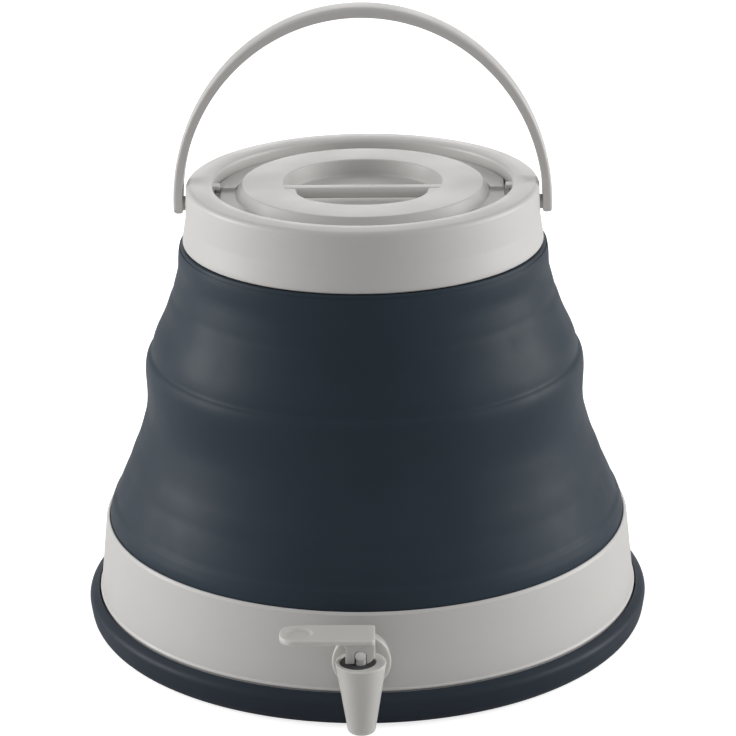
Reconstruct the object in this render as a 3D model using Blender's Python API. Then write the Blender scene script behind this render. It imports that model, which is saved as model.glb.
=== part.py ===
"""Collapsible water carrier: a folding soft wall between a rigid base with a lever tap and a rigid top ring
with a bail handle and a twist lid.

Metres, +Z up. The origin is at the middle of the footprint, tap included, on the surface that the carrier
stands on. The carrier's own axis stands behind it, the tap faces -Y and the handle turns about an axis
along X.
"""

import math

import bmesh
import bpy
from mathutils import Matrix, Vector

MM = 0.001

# Fits shared by all pieces
GAP = 0.3 * MM
OVERRUN = 2.0 * MM
SMALL_ROUND = 0.6 * MM
EDGE_ROUND = 1.2 * MM
RING_STEPS = 48
TUBE_STEPS = 24
ARC_STEPS = 2

# Foot ring
FOOT_OVERHANG = 6.5 * MM
FOOT_WIDTH = 18.0 * MM
FOOT_SHOULDER = 13.8 * MM
FOOT_TOP = 17.6 * MM
FOOT_EDGE = 4.0 * MM
FOOT_TUCK = 2.0 * MM
FOOT_HEEL = 7.0 * MM

# Base shell: floor and visible band
FLOOR_RISE = 9.0 * MM
FLOOR_THICKNESS = 2.5 * MM
BAND_FOOT_RISE = 16.0 * MM
BAND_FOOT_RADIUS = 138.5 * MM
BAND_TAPER = 4.3 * MM
BAND_HEIGHT = 40.4 * MM
BAND_WALL = 2.4 * MM
BAND_LIP = 1.6 * MM
LEDGE_THICKNESS = 2.0 * MM
CLAMP_WALL = 2.4 * MM

# Folding wall
WALL_THICKNESS = 2.2 * MM
SKIRT_DEPTH = 7.2 * MM
LOWER_WALL_HEIGHT = 56.4 * MM
MIDDLE_RADIUS = 111.3 * MM
MIDDLE_HEIGHT = 31.0 * MM
MIDDLE_THICKNESS = 3.0 * MM
MIDDLE_SHOULDER = 2.3 * MM
UPPER_WALL_HEIGHT = 44.2 * MM
CUFF_BULGE = 5.0 * MM
CUFF_WALL = 3.1 * MM
CUFF_HEIGHT = 13.7 * MM
CREASE_DEPTH = 0.8 * MM
WALL_LIP_THICKNESS = 1.5 * MM

# Share of the height from the wall's foot, and of the step from the foot's radius to the middle band's
LOWER_WALL_SHARES = (
    (0.05, 0.0),
    (0.165, 0.115),
    (0.19, 0.165),
    (0.32, 0.335),
    (0.46, 0.505),
    (0.61, 0.66),
    (0.76, 0.81),
    (0.89, 0.925),
    (1.0, 1.0),
)
UPPER_WALL_SHARES = (
    (0.07, 0.02),
    (0.18, 0.13),
    (0.31, 0.315),
    (0.47, 0.52),
    (0.65, 0.71),
    (0.83, 0.86),
    (1.0, 1.0),
)
# Share of the middle band's height, and of its shoulder taken off its radius
MIDDLE_SHARES = ((0.0, 0.0), (0.35, 0.18), (0.72, 0.0), (0.92, 0.4), (1.0, 1.0))

# Top ring
RING_RISE = 28.3 * MM
MOUTH_RADIUS = 74.7 * MM
RIM_WIDTH = 13.1 * MM
RING_FLARE = 2.6 * MM
RING_STEP = 2.3 * MM
RING_WALL = 2.4 * MM
RING_SKIRT = 15.7 * MM
RING_SHOULDER = 4.2 * MM
RIM_DEPTH = 11.0 * MM
BEAD_RISE = 5.0 * MM
BEAD_SIZE = 0.9 * MM
TAB_REACH = 3.5 * MM
TAB_LENGTH = 6.0 * MM
TAB_HEIGHT = 2.0 * MM
TAB_DROP = 1.4 * MM

# Filler neck and upper clamp ring
LEDGE_DROP = 7.8 * MM
NECK_LEDGE_WIDTH = 5.1 * MM
NECK_WALL = 2.3 * MM
NECK_DEPTH = 18.0 * MM
NECK_FLANGE = 3.6 * MM

# Lid
DISC_INSET = 14.6 * MM
DISC_SLOPE = 3.3 * MM
LID_THICKNESS = 2.3 * MM
FLANGE_THICKNESS = 2.2 * MM
RECESS_RADIUS = 39.7 * MM
RECESS_DEPTH = 8.2 * MM
RECESS_TAPER = 1.2 * MM
GRIP_BACK = 4.5 * MM
GRIP_WIDTH = 7.5 * MM
GRIP_HEIGHT = 5.0 * MM
GRIP_ROUND = 4.2 * MM
GRIP_DROP = 0.2 * MM
LAND_REACH = 7.4 * MM
NOTCH_RUN = 22.0 * MM
NOTCH_STUB = 8.0 * MM
PAD_START = 2.8 * MM
PAD_RISE = 1.4 * MM
PAD_LENGTH = 11.5 * MM
PLUG_CLEARANCE = 0.7 * MM
PLUG_WALL = 3.0 * MM
PLUG_DEPTH = 13.0 * MM
SEAL_WIDTH = 1.5 * MM
SEAL_HEIGHT = 3.0 * MM
SEAL_RISE = 3.0 * MM
LINER_THICKNESS = 2.0 * MM

# Bail handle
PIVOT_DROP = 10.8 * MM
HANDLE_GAP = 0.9 * MM
HANDLE_THICKNESS = 4.5 * MM
HANDLE_CROWN = 5.0 * MM
HANDLE_WIDTH = 10.0 * MM
HANDLE_CROWN_WIDTH = 14.0 * MM
HANDLE_RISE = 100.2 * MM
HANDLE_BOSS = 5.3 * MM
STUD_RADIUS = 3.6 * MM
STUD_HEAD = 1.0 * MM
STUD_HEAD_PLAY = 0.6 * MM
STUD_HEAD_LENGTH = 1.8 * MM
HANDLE_STEPS = 32

# Tap
TAP_HEIGHT_SHARE = 0.458
TAP_PAD_RADIUS = 13.4 * MM
TAP_PAD_RISE = 0.8 * MM
TAP_FLANGE_RADIUS = 14.1 * MM
TAP_FLANGE_THICKNESS = 2.0 * MM
SHANK_RADIUS = 7.4 * MM
SHANK_BORE = 3.6 * MM
TAP_NECK_RADIUS = 6.0 * MM
SHANK_TAIL = 2.0 * MM
OUTER_WASHER = 1.2 * MM
INNER_WASHER = 2.0 * MM
WASHER_WIDTH = 3.8 * MM
NUT_THICKNESS = 8.0 * MM
NUT_WALL = 3.0 * MM
CUP_STANDOFF = 1.0 * MM
CUP_RADIUS = 12.1 * MM
CUP_RISE = 6.7 * MM
TIP_RADIUS = 6.5 * MM
TIP_RISE = 5.1 * MM
TIP_ROUND = 2.0 * MM
CHAMBER_RADIUS = 6.3 * MM
SEAT_DROP = 17.0 * MM
OUTLET_RADIUS = 4.2 * MM
BONNET_RADIUS = 9.3 * MM
BONNET_OFFSET = 1.8 * MM
BONNET_THICKNESS = 1.9 * MM
STEM_RADIUS = 2.3 * MM
STEM_FLAT = 1.5 * MM
TRUNNION_RADIUS = 2.6 * MM
COLLAR_RADIUS = 4.6 * MM
COLLAR_THICKNESS = 1.5 * MM
VALVE_RADIUS = 5.6 * MM
VALVE_THICKNESS = 2.4 * MM
STUB_RADIUS = 1.6 * MM
BUTTON_RADIUS = 2.6 * MM
BUTTON_THICKNESS = 0.9 * MM

# Tap lever, measured from its pivot
CAM_REST = 4.0 * MM
CAM_LIFT = 2.8 * MM
CAM_TURN = math.radians(90.0)
CAM_STEPS = 6
FORK_REACH = 7.1 * MM
FORK_HALF_WIDTH = 3.6 * MM
FORK_FLARE = 4.9 * MM
MOUTH_HALF_WIDTH = 2.2 * MM
PADDLE_RISE = 8.1 * MM
PADDLE_THICKNESS = 2.5 * MM
PADDLE_LENGTH = 38.6 * MM
PADDLE_HALF_WIDTH = 9.0 * MM
PADDLE_END_ROUND = 6.5 * MM
DIMPLE_LENGTH = 14.6 * MM
DIMPLE_WIDTH = 12.6 * MM
DIMPLE_DEPTH = 0.9 * MM
DIMPLE_INSET = 9.6 * MM

# Heights and radii worked out from the sizes above
BAND_TOP = BAND_FOOT_RISE + BAND_HEIGHT
BAND_TOP_RADIUS = BAND_FOOT_RADIUS - BAND_TAPER
FOOT_RADIUS = BAND_FOOT_RADIUS + FOOT_OVERHANG
RING_TOP_RADIUS = MOUTH_RADIUS + RIM_WIDTH
RING_EDGE_RADIUS = RING_TOP_RADIUS + RING_FLARE
RING_SKIRT_RADIUS = RING_EDGE_RADIUS - RING_STEP
CUFF_BULGE_RADIUS = RING_SKIRT_RADIUS + CUFF_BULGE
CUFF_TOP_RADIUS = RING_SKIRT_RADIUS + CUFF_WALL
NECK_RADIUS = MOUTH_RADIUS - NECK_LEDGE_WIDTH
DISC_RADIUS = MOUTH_RADIUS - DISC_INSET
MIDDLE_FOOT = BAND_TOP + LOWER_WALL_HEIGHT
MIDDLE_TOP = MIDDLE_FOOT + MIDDLE_HEIGHT
CUFF_FOOT = MIDDLE_TOP + UPPER_WALL_HEIGHT
CUFF_TOP = CUFF_FOOT + CUFF_HEIGHT
RING_FOOT = CUFF_TOP + GAP
RING_TOP = CUFF_TOP + RING_RISE
SKIRT_FOOT = CUFF_TOP - RING_SKIRT
FLOOR_TOP = FLOOR_RISE + FLOOR_THICKNESS
LEDGE_TOP = BAND_TOP - SKIRT_DEPTH - GAP
LIP_INNER_RADIUS = BAND_TOP_RADIUS - BAND_LIP
WALL_FOOT_RADIUS = LIP_INNER_RADIUS - GAP
CLAMP_RADIUS = WALL_FOOT_RADIUS - WALL_THICKNESS - GAP
PIVOT_RISE = RING_TOP - PIVOT_DROP
NECK_LEDGE = RING_TOP - LEDGE_DROP
FLANGE_FOOT = NECK_LEDGE + GAP
FLANGE_TOP = FLANGE_FOOT + FLANGE_THICKNESS
TAB_INNER_RADIUS = MOUTH_RADIUS - TAB_REACH
PLUG_RADIUS = NECK_RADIUS - PLUG_CLEARANCE
TAP_RISE = BAND_FOOT_RISE + BAND_HEIGHT * TAP_HEIGHT_SHARE

# Colours, as linear red, green and blue
PALE_GREY = (0.60, 0.59, 0.57)
NAVY = (0.022, 0.030, 0.042)
TAP_GREY = (0.66, 0.65, 0.63)
RUBBER_BLACK = (0.012, 0.012, 0.013)
SEAL_WHITE = (0.72, 0.72, 0.70)


def clear_scene():
    """Removes whatever the scene holds, so the model starts empty."""
    for obj in list(bpy.data.objects):
        bpy.data.objects.remove(obj, do_unlink=True)


def make_material(name, colour, roughness):
    """Returns a plain Principled material."""
    material = bpy.data.materials.new(name)
    material.use_nodes = True
    shader = material.node_tree.nodes["Principled BSDF"]
    shader.inputs["Base Color"].default_value = (*colour, 1.0)
    shader.inputs["Roughness"].default_value = roughness
    shader.inputs["Metallic"].default_value = 0.0
    material.diffuse_color = (*colour, 1.0)
    return material


def make_empty(name, position, parent=None):
    """Returns an empty at a place in the carrier's frame, standing on a joint's axis."""
    empty = bpy.data.objects.new(name, None)
    bpy.context.scene.collection.objects.link(empty)
    empty.parent = parent
    origin = world_place(parent)
    empty.location = Vector(position) - origin
    return empty


def world_place(obj):
    """Returns where an unturned object stands in the carrier's frame."""
    place = Vector((0.0, 0.0, 0.0))
    while obj is not None:
        place += obj.location
        obj = obj.parent
    return place


def finish(obj, parent, material):
    """Gives a piece its material, smooth shading and its joint's empty as its origin."""
    obj.data.transform(Matrix.Translation(-world_place(parent)))
    obj.parent = parent
    obj.data.materials.clear()
    obj.data.materials.append(material)
    obj.data.shade_smooth()
    obj.data.set_sharp_from_angle(angle=math.radians(35.0))
    return obj


def object_from(mesh_builder, name):
    """Returns an object from a bmesh, with its faces turned outward."""
    bmesh.ops.recalc_face_normals(mesh_builder, faces=mesh_builder.faces)
    mesh = bpy.data.meshes.new(name)
    mesh_builder.to_mesh(mesh)
    mesh_builder.free()
    obj = bpy.data.objects.new(name, mesh)
    bpy.context.scene.collection.objects.link(obj)
    return obj


def rounded(corners, steps=ARC_STEPS):
    """Returns the outline through (x, y, radius) corners, with each rounded corner as an arc.

    A radius is held within its two edges, so neighbouring arcs never cross.
    """
    outline = []
    count = len(corners)
    for index, (x, y, radius) in enumerate(corners):
        here = Vector((x, y))
        before = Vector(corners[index - 1][:2]) - here
        after = Vector(corners[(index + 1) % count][:2]) - here
        half = before.angle(after) / 2.0
        if radius <= 0.0 or half > math.radians(88.0):
            outline.append((x, y))
            continue
        tangent = min(radius / math.tan(half), before.length * 0.45, after.length * 0.45)
        radius = tangent * math.tan(half)
        bisector = (before.normalized() + after.normalized()).normalized()
        centre = here + bisector * (radius / math.sin(half))
        first = here + before.normalized() * tangent - centre
        last = here + after.normalized() * tangent - centre
        sweep = first.angle_signed(last)
        for step in range(steps + 1):
            turned = first.copy()
            turned.rotate(Matrix.Rotation(-sweep * step / steps, 2))
            outline.append(tuple(centre + turned))
    return outline


def lathe(name, outline, steps=RING_STEPS, place=(0.0, 0.0, 0.0), along_y=False):
    """Returns a turned piece: a closed (radius, height) outline swept once round the axis.

    A side that lies on the axis sweeps no face, and a flat end becomes one face. With along_y the axis lies
    along -Y and the outline's heights run outward from the carrier.
    """
    builder = bmesh.new()
    points = [builder.verts.new((radius, 0.0, height)) for radius, height in outline]
    sides = [(points[i - 1], points[i]) for i in range(len(points))]
    edges = [builder.edges.new(side) for side in sides if max(side[0].co.x, side[1].co.x) > 0.0]
    bmesh.ops.spin(
        builder,
        geom=points + edges,
        cent=(0.0, 0.0, 0.0),
        axis=(0.0, 0.0, 1.0),
        angle=math.tau,
        steps=steps,
        use_merge=True,
    )
    bmesh.ops.remove_doubles(builder, verts=builder.verts, dist=GAP / 100.0)
    centres = [vert for vert in builder.verts if vert.co.xy.length < GAP / 100.0]
    bmesh.ops.dissolve_verts(builder, verts=centres)
    if along_y:
        turn = Matrix.Rotation(math.pi / 2.0, 3, "X")
        bmesh.ops.rotate(builder, verts=builder.verts, cent=(0.0, 0.0, 0.0), matrix=turn)
    bmesh.ops.translate(builder, verts=builder.verts, vec=place)
    return object_from(builder, name)


def extruded(name, outline, start, end, axes):
    """Returns a prism: a closed outline in the plane of the first two axes, run along the third."""
    builder = bmesh.new()
    ring = []
    for across, up in outline:
        spot = [0.0, 0.0, 0.0]
        spot[axes[0]] = across
        spot[axes[1]] = up
        spot[axes[2]] = start
        ring.append(builder.verts.new(spot))
    face = builder.faces.new(ring)
    run = [0.0, 0.0, 0.0]
    run[axes[2]] = end - start
    swept = bmesh.ops.extrude_face_region(builder, geom=[face])
    moved = [item for item in swept["geom"] if isinstance(item, bmesh.types.BMVert)]
    bmesh.ops.translate(builder, verts=moved, vec=run)
    return object_from(builder, name)


def box(name, low, high):
    """Returns a block between two opposite corners."""
    outline = ((low[0], low[1]), (high[0], low[1]), (high[0], high[1]), (low[0], high[1]))
    return extruded(name, outline, low[2], high[2], (0, 1, 2))


def rod(name, radius, start, end, axis, place, steps=TUBE_STEPS):
    """Returns a round bar along one axis, from start to end, through a place on the other two."""
    others = [index for index in (0, 1, 2) if index != axis]
    outline = []
    for step in range(steps):
        angle = math.tau * step / steps
        across = place[others[0]] + radius * math.cos(angle)
        up = place[others[1]] + radius * math.sin(angle)
        outline.append((across, up))
    return extruded(name, outline, start, end, (others[0], others[1], axis))


def combine(target, tool, operation):
    """Joins a tool to a piece or cuts it away, and removes the tool."""
    modifier = target.modifiers.new("Combine", "BOOLEAN")
    modifier.operation = operation
    modifier.solver = "EXACT"
    modifier.object = tool
    graph = bpy.context.evaluated_depsgraph_get()
    mesh = bpy.data.meshes.new_from_object(target.evaluated_get(graph))
    target.modifiers.clear()
    target.data = mesh
    bpy.data.objects.remove(tool, do_unlink=True)
    return target


def join(target, *tools):
    """Makes several bodies one."""
    for tool in tools:
        combine(target, tool, "UNION")
    return target


def cut(target, *tools):
    """Cuts several tools out of a piece."""
    for tool in tools:
        combine(target, tool, "DIFFERENCE")
    return target


def band_radius(height):
    """Returns the base shell's outer radius at a height."""
    share = (height - BAND_FOOT_RISE) / BAND_HEIGHT
    return BAND_FOOT_RADIUS + (BAND_TOP_RADIUS - BAND_FOOT_RADIUS) * share


def ring_radius(height):
    """Returns the top ring's outer radius at a height above its lower edge."""
    share = (RING_TOP - height) / (RING_TOP - RING_FOOT)
    return RING_TOP_RADIUS + RING_FLARE * share


def tap_pad_face():
    """Returns how far the flat outer face of the tap's pad lies from the carrier's axis."""
    return band_radius(TAP_RISE - TAP_PAD_RADIUS) + TAP_PAD_RISE


def tap_inner_face():
    """Returns how far the flat inner face of the tap's pad lies from the carrier's axis."""
    inner = band_radius(TAP_RISE + TAP_PAD_RADIUS) - BAND_WALL
    return math.sqrt(inner**2 - TAP_PAD_RADIUS**2) - TAP_PAD_RISE


def tap_reach():
    """Returns how far the spout's upright axis lies from the carrier's axis."""
    return tap_pad_face() + GAP + OUTER_WASHER + GAP + TAP_FLANGE_THICKNESS + CUP_STANDOFF + CUP_RADIUS


def cup_top():
    """Returns the height of the tap cup's flat top."""
    return TAP_RISE + CUP_RISE


def lever_pivot():
    """Returns the place of the tap lever's pivot."""
    return Vector((0.0, -tap_reach(), cup_top() + GAP + CAM_REST))


def handle_half_width():
    """Returns the bail's outer half width at its pivots."""
    return ring_radius(PIVOT_RISE) + HANDLE_GAP + HANDLE_THICKNESS


def foot_outline():
    """Returns the foot ring's outline as (radius, height), with a shelf for the floor's edge."""
    inner = FOOT_RADIUS - FOOT_WIDTH
    shelf = FLOOR_RISE - GAP
    groove = band_radius(FLOOR_RISE) + GAP
    return rounded(
        (
            (inner, 0.0, 0.0),
            (FOOT_RADIUS - FOOT_TUCK, 0.0, FOOT_HEEL),
            (FOOT_RADIUS, FOOT_SHOULDER, FOOT_EDGE),
            (groove, FOOT_TOP, SMALL_ROUND),
            (groove, shelf, 0.0),
            (inner, shelf, SMALL_ROUND),
        )
    )


def foot_reach():
    """Returns how far the foot ring reaches from the carrier's axis."""
    return max(radius for radius, height in foot_outline())


def make_foot_ring():
    """The soft ring that the carrier stands on."""
    return lathe("foot_ring", foot_outline())


def make_base_shell():
    """The rigid base: floor, tapered band with a rounded lip, inner ledge and the tap's pad."""
    outline = rounded(
        (
            (0.0, FLOOR_RISE, 0.0),
            (band_radius(FLOOR_RISE), FLOOR_RISE, EDGE_ROUND),
            (BAND_TOP_RADIUS, BAND_TOP, BAND_LIP / 2.0),
            (LIP_INNER_RADIUS, BAND_TOP, BAND_LIP / 2.0),
            (LIP_INNER_RADIUS, LEDGE_TOP, 0.0),
            (CLAMP_RADIUS - CLAMP_WALL, LEDGE_TOP, 0.0),
            (CLAMP_RADIUS - CLAMP_WALL, LEDGE_TOP - LEDGE_THICKNESS, 0.0),
            (band_radius(LEDGE_TOP) - BAND_WALL, LEDGE_TOP - LEDGE_THICKNESS, 0.0),
            (band_radius(FLOOR_TOP) - BAND_WALL, FLOOR_TOP, BAND_WALL),
            (0.0, FLOOR_TOP, 0.0),
        )
    )
    shell = lathe("base_shell", outline)
    centre = (0.0, 0.0, TAP_RISE)
    pad = rod("pad", TAP_PAD_RADIUS, -tap_pad_face(), -tap_inner_face(), 1, centre)
    hole = rod("hole", SHANK_RADIUS + GAP, -tap_pad_face() - OVERRUN, OVERRUN - tap_inner_face(), 1, centre)
    join(shell, pad)
    return cut(shell, hole)


def make_lower_clamp():
    """The hidden ring that presses the wall's foot into the base's lip."""
    inner = CLAMP_RADIUS - CLAMP_WALL
    low = LEDGE_TOP + GAP
    outline = rounded(
        (
            (inner, low, 0.0),
            (CLAMP_RADIUS, low, 0.0),
            (CLAMP_RADIUS, BAND_TOP, SMALL_ROUND),
            (inner, BAND_TOP, SMALL_ROUND),
        ),
        steps=1,
    )
    return lathe("lower_clamp_ring", outline)


def lower_wall_line():
    """Returns the lower wall's outer line as (radius, height), from its foot up to the middle band."""
    top = MIDDLE_FOOT - GAP
    line = [(WALL_FOOT_RADIUS, BAND_TOP - SKIRT_DEPTH)]
    for rise_share, step_share in LOWER_WALL_SHARES:
        radius = WALL_FOOT_RADIUS + (MIDDLE_RADIUS - WALL_FOOT_RADIUS) * step_share
        line.append((radius, BAND_TOP + (top - BAND_TOP) * rise_share))
    return line


def make_lower_wall():
    """The lower folding cone of the soft wall, flared like a bell."""
    line = lower_wall_line()
    kept = line[:1] + line[1::2]
    inner = [(radius - WALL_THICKNESS, height) for radius, height in reversed(kept)]
    return lathe("wall_lower", line + inner)


def middle_line():
    """Returns the middle band's outer line as (radius, height)."""
    line = []
    for rise_share, shoulder_share in MIDDLE_SHARES:
        radius = MIDDLE_RADIUS - MIDDLE_SHOULDER * shoulder_share
        line.append((radius, MIDDLE_FOOT + MIDDLE_HEIGHT * rise_share))
    return line


def make_middle_wall():
    """The upright middle band of the soft wall, thick enough to keep its shape."""
    line = middle_line()
    inner = MIDDLE_RADIUS - MIDDLE_SHOULDER - MIDDLE_THICKNESS
    return lathe("wall_middle", line + [(inner, MIDDLE_TOP), (inner, MIDDLE_FOOT)])


def upper_wall_line():
    """Returns the upper wall's outer line as (radius, height), from the middle band up to the cuff."""
    foot = MIDDLE_RADIUS - MIDDLE_SHOULDER - CREASE_DEPTH
    low = MIDDLE_TOP + GAP
    line = [(foot, low)]
    for rise_share, step_share in UPPER_WALL_SHARES:
        radius = foot + (CUFF_BULGE_RADIUS - foot) * step_share
        line.append((radius, low + (CUFF_FOOT - low) * rise_share))
    return line


def make_upper_wall():
    """The upper folding cone of the soft wall, with the cuff that grips the top ring's skirt."""
    line = upper_wall_line()
    lip_top = SKIRT_FOOT - GAP
    lip_foot = lip_top - WALL_LIP_THICKNESS
    grip = RING_SKIRT_RADIUS + GAP
    lip_radius = RING_SKIRT_RADIUS - RING_WALL + GAP
    bead = SKIRT_FOOT + BEAD_RISE
    cuff = [
        (CUFF_BULGE_RADIUS, CUFF_FOOT + CUFF_HEIGHT * 0.6),
        (CUFF_TOP_RADIUS, CUFF_TOP - EDGE_ROUND / 2.0),
        (CUFF_TOP_RADIUS - EDGE_ROUND / 2.0, CUFF_TOP),
        (grip, CUFF_TOP),
        (grip, bead + BEAD_SIZE),
        (grip + BEAD_SIZE, bead),
        (grip, bead - BEAD_SIZE),
        (grip, lip_top),
        (lip_radius, lip_top),
        (lip_radius, lip_foot),
    ]
    below = [point for point in line if point[1] < lip_foot - OVERRUN]
    inner = [(radius - WALL_THICKNESS, height) for radius, height in reversed(below)]
    return lathe("wall_upper", line + cuff + [(inner[0][0], lip_foot)] + inner[1:])


def make_upper_clamp():
    """The hidden ring that presses the wall's inner lip up against the top ring's skirt."""
    outer = RING_SKIRT_RADIUS - RING_WALL - GAP
    inner = outer - CLAMP_WALL
    top = SKIRT_FOOT - GAP - WALL_LIP_THICKNESS - GAP
    outline = (
        (inner, top - CLAMP_WALL),
        (RING_SKIRT_RADIUS + CLAMP_WALL - EDGE_ROUND, top - CLAMP_WALL),
        (RING_SKIRT_RADIUS + CLAMP_WALL - EDGE_ROUND, top),
        (outer, top),
        (outer, SKIRT_FOOT + RING_SKIRT / 2.0),
        (inner, SKIRT_FOOT + RING_SKIRT / 2.0),
    )
    return lathe("upper_clamp_ring", outline)


def make_top_ring():
    """The rigid top ring: a hollow flared rim over a skirt, with two lid tabs and two pivot holes."""
    skirt = RING_SKIRT_RADIUS
    bead = SKIRT_FOOT + BEAD_RISE
    rim_foot = RING_TOP - RIM_DEPTH
    outline = rounded(
        (
            (skirt, SKIRT_FOOT, 0.0),
            (skirt, bead - BEAD_SIZE, 0.0),
            (skirt + BEAD_SIZE, bead, 0.0),
            (skirt, bead + BEAD_SIZE, 0.0),
            (skirt, RING_FOOT, 0.0),
            (RING_EDGE_RADIUS, RING_FOOT, EDGE_ROUND),
            (RING_TOP_RADIUS, RING_TOP, RING_SHOULDER),
            (MOUTH_RADIUS, RING_TOP, EDGE_ROUND),
            (MOUTH_RADIUS, rim_foot, 0.0),
            (MOUTH_RADIUS + RING_WALL, rim_foot, 0.0),
            (MOUTH_RADIUS + RING_WALL, RING_TOP - RING_WALL, 0.0),
            (RING_TOP_RADIUS - RING_WALL, RING_TOP - RING_WALL, RING_WALL),
            (RING_EDGE_RADIUS - RING_WALL, RING_FOOT + RING_WALL, 0.0),
            (skirt - RING_WALL, RING_FOOT, 0.0),
            (skirt - RING_WALL, SKIRT_FOOT, 0.0),
        )
    )
    ring = lathe("top_ring", outline)
    tab_top = RING_TOP - TAB_DROP
    wall_middle = MOUTH_RADIUS + RING_WALL / 2.0
    for side in (-1.0, 1.0):
        ends = sorted((side * TAB_INNER_RADIUS, side * wall_middle))
        tab = box(
            "tab",
            (ends[0], -TAB_LENGTH / 2.0, tab_top - TAB_HEIGHT),
            (ends[1], TAB_LENGTH / 2.0, tab_top),
        )
        join(ring, tab)
        outer = side * (ring_radius(PIVOT_RISE) + OVERRUN)
        inner = side * (ring_radius(PIVOT_RISE) - RING_WALL - OVERRUN)
        start, end = sorted((inner, outer))
        cut(ring, rod("hole", STUD_RADIUS + GAP, start, end, 0, (0.0, 0.0, PIVOT_RISE)))
    return ring


def make_neck():
    """The filler neck: a ledge for the lid, a tube below it and a flange under the rim's inner wall."""
    outer = MOUTH_RADIUS - GAP
    rim_foot = RING_TOP - RIM_DEPTH - GAP
    flange_foot = rim_foot - NECK_WALL
    tube = NECK_RADIUS + NECK_WALL
    foot = NECK_LEDGE - NECK_DEPTH
    flange = MOUTH_RADIUS + RING_WALL + NECK_FLANGE
    outline = (
        (NECK_RADIUS, foot),
        (tube, foot),
        (tube, flange_foot - NECK_WALL),
        (tube + NECK_WALL, flange_foot),
        (flange, flange_foot),
        (flange, rim_foot),
        (outer, rim_foot),
        (outer, NECK_LEDGE),
        (NECK_RADIUS, NECK_LEDGE),
    )
    return lathe("filler_neck", outline)


def make_lid():
    """The twist lid: a raised disc with a finger recess and its grip bar, a notched flange and a plug."""
    recess_floor = RING_TOP - RECESS_DEPTH
    slope_foot = DISC_RADIUS + DISC_SLOPE
    flange = MOUTH_RADIUS - GAP - GAP
    plug_foot = FLANGE_FOOT - PLUG_DEPTH
    plug_inner = PLUG_RADIUS - PLUG_WALL
    groove_foot = plug_foot + SEAL_RISE - GAP
    groove_top = plug_foot + SEAL_RISE + SEAL_HEIGHT + GAP
    groove = PLUG_RADIUS - SEAL_WIDTH - GAP
    recess_foot = RECESS_RADIUS - RECESS_TAPER
    under = RING_TOP - LID_THICKNESS
    outline = rounded(
        (
            (0.0, recess_floor, 0.0),
            (recess_foot, recess_floor, EDGE_ROUND),
            (RECESS_RADIUS, RING_TOP, SMALL_ROUND),
            (DISC_RADIUS, RING_TOP, SMALL_ROUND),
            (slope_foot, FLANGE_TOP, 0.0),
            (flange, FLANGE_TOP, SMALL_ROUND),
            (flange, FLANGE_FOOT, 0.0),
            (PLUG_RADIUS, FLANGE_FOOT, 0.0),
            (PLUG_RADIUS, groove_top, 0.0),
            (groove, groove_top, 0.0),
            (groove, groove_foot, 0.0),
            (PLUG_RADIUS, groove_foot, 0.0),
            (PLUG_RADIUS, plug_foot, SMALL_ROUND),
            (plug_inner, plug_foot, 0.0),
            (plug_inner, FLANGE_FOOT - LID_THICKNESS, 0.0),
            (DISC_RADIUS - LID_THICKNESS / 2.0, under, 0.0),
            (RECESS_RADIUS + LID_THICKNESS, under, 0.0),
            (recess_foot + LID_THICKNESS, recess_floor - LID_THICKNESS, 0.0),
            (0.0, recess_floor - LID_THICKNESS, 0.0),
        ),
        steps=1,
    )
    lid = lathe("lid", outline)
    join(lid, make_grip_bar(), make_grip_land())
    for side in (-1.0, 1.0):
        join(lid, make_flange_pad(side, slope_foot))
        across = sorted((side * (TAB_INNER_RADIUS - GAP), side * (MOUTH_RADIUS + OVERRUN)))
        along = sorted((side * NOTCH_RUN, -side * NOTCH_STUB))
        notch = box(
            "notch",
            (across[0], along[0], FLANGE_FOOT - OVERRUN),
            (across[1], along[1], FLANGE_TOP + OVERRUN),
        )
        cut(lid, notch)
    return lid


def make_grip_bar():
    """The bar across the finger recess, with a rounded front."""
    top = RING_TOP - GRIP_DROP
    outline = rounded(
        (
            (-GRIP_BACK, top - GRIP_HEIGHT, SMALL_ROUND),
            (-GRIP_BACK, top, SMALL_ROUND),
            (-GRIP_BACK - GRIP_WIDTH, top, GRIP_ROUND),
            (-GRIP_BACK - GRIP_WIDTH, top - GRIP_HEIGHT, SMALL_ROUND),
        ),
        steps=3,
    )
    reach = RECESS_RADIUS + LID_THICKNESS / 3.0
    return extruded("bar", outline, -reach, reach, (1, 2, 0))


def make_grip_land():
    """The crescent that widens the bar's ends towards the front edge of the recess."""
    top = RING_TOP - GRIP_DROP
    foot = top - GRIP_HEIGHT
    front = GRIP_BACK + GRIP_WIDTH
    outer = RECESS_RADIUS + LID_THICKNESS / 2.0
    land = rod("land", outer, foot, top, 2, (0.0, 0.0, 0.0), RING_STEPS)
    back = box(
        "back",
        (-outer - OVERRUN, SMALL_ROUND - front, foot - OVERRUN),
        (outer + OVERRUN, outer + OVERRUN, top + OVERRUN),
    )
    reach = RECESS_RADIUS - LAND_REACH
    opening = rod("opening", reach, foot - OVERRUN, top + OVERRUN, 2, (0.0, 0.0, 0.0), RING_STEPS)
    stretch = (RECESS_RADIUS - front) / reach
    opening.data.transform(Matrix.Diagonal((1.0, stretch, 1.0, 1.0)))
    opening.data.transform(Matrix.Translation((0.0, -front, 0.0)))
    return cut(land, back, opening)


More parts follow.
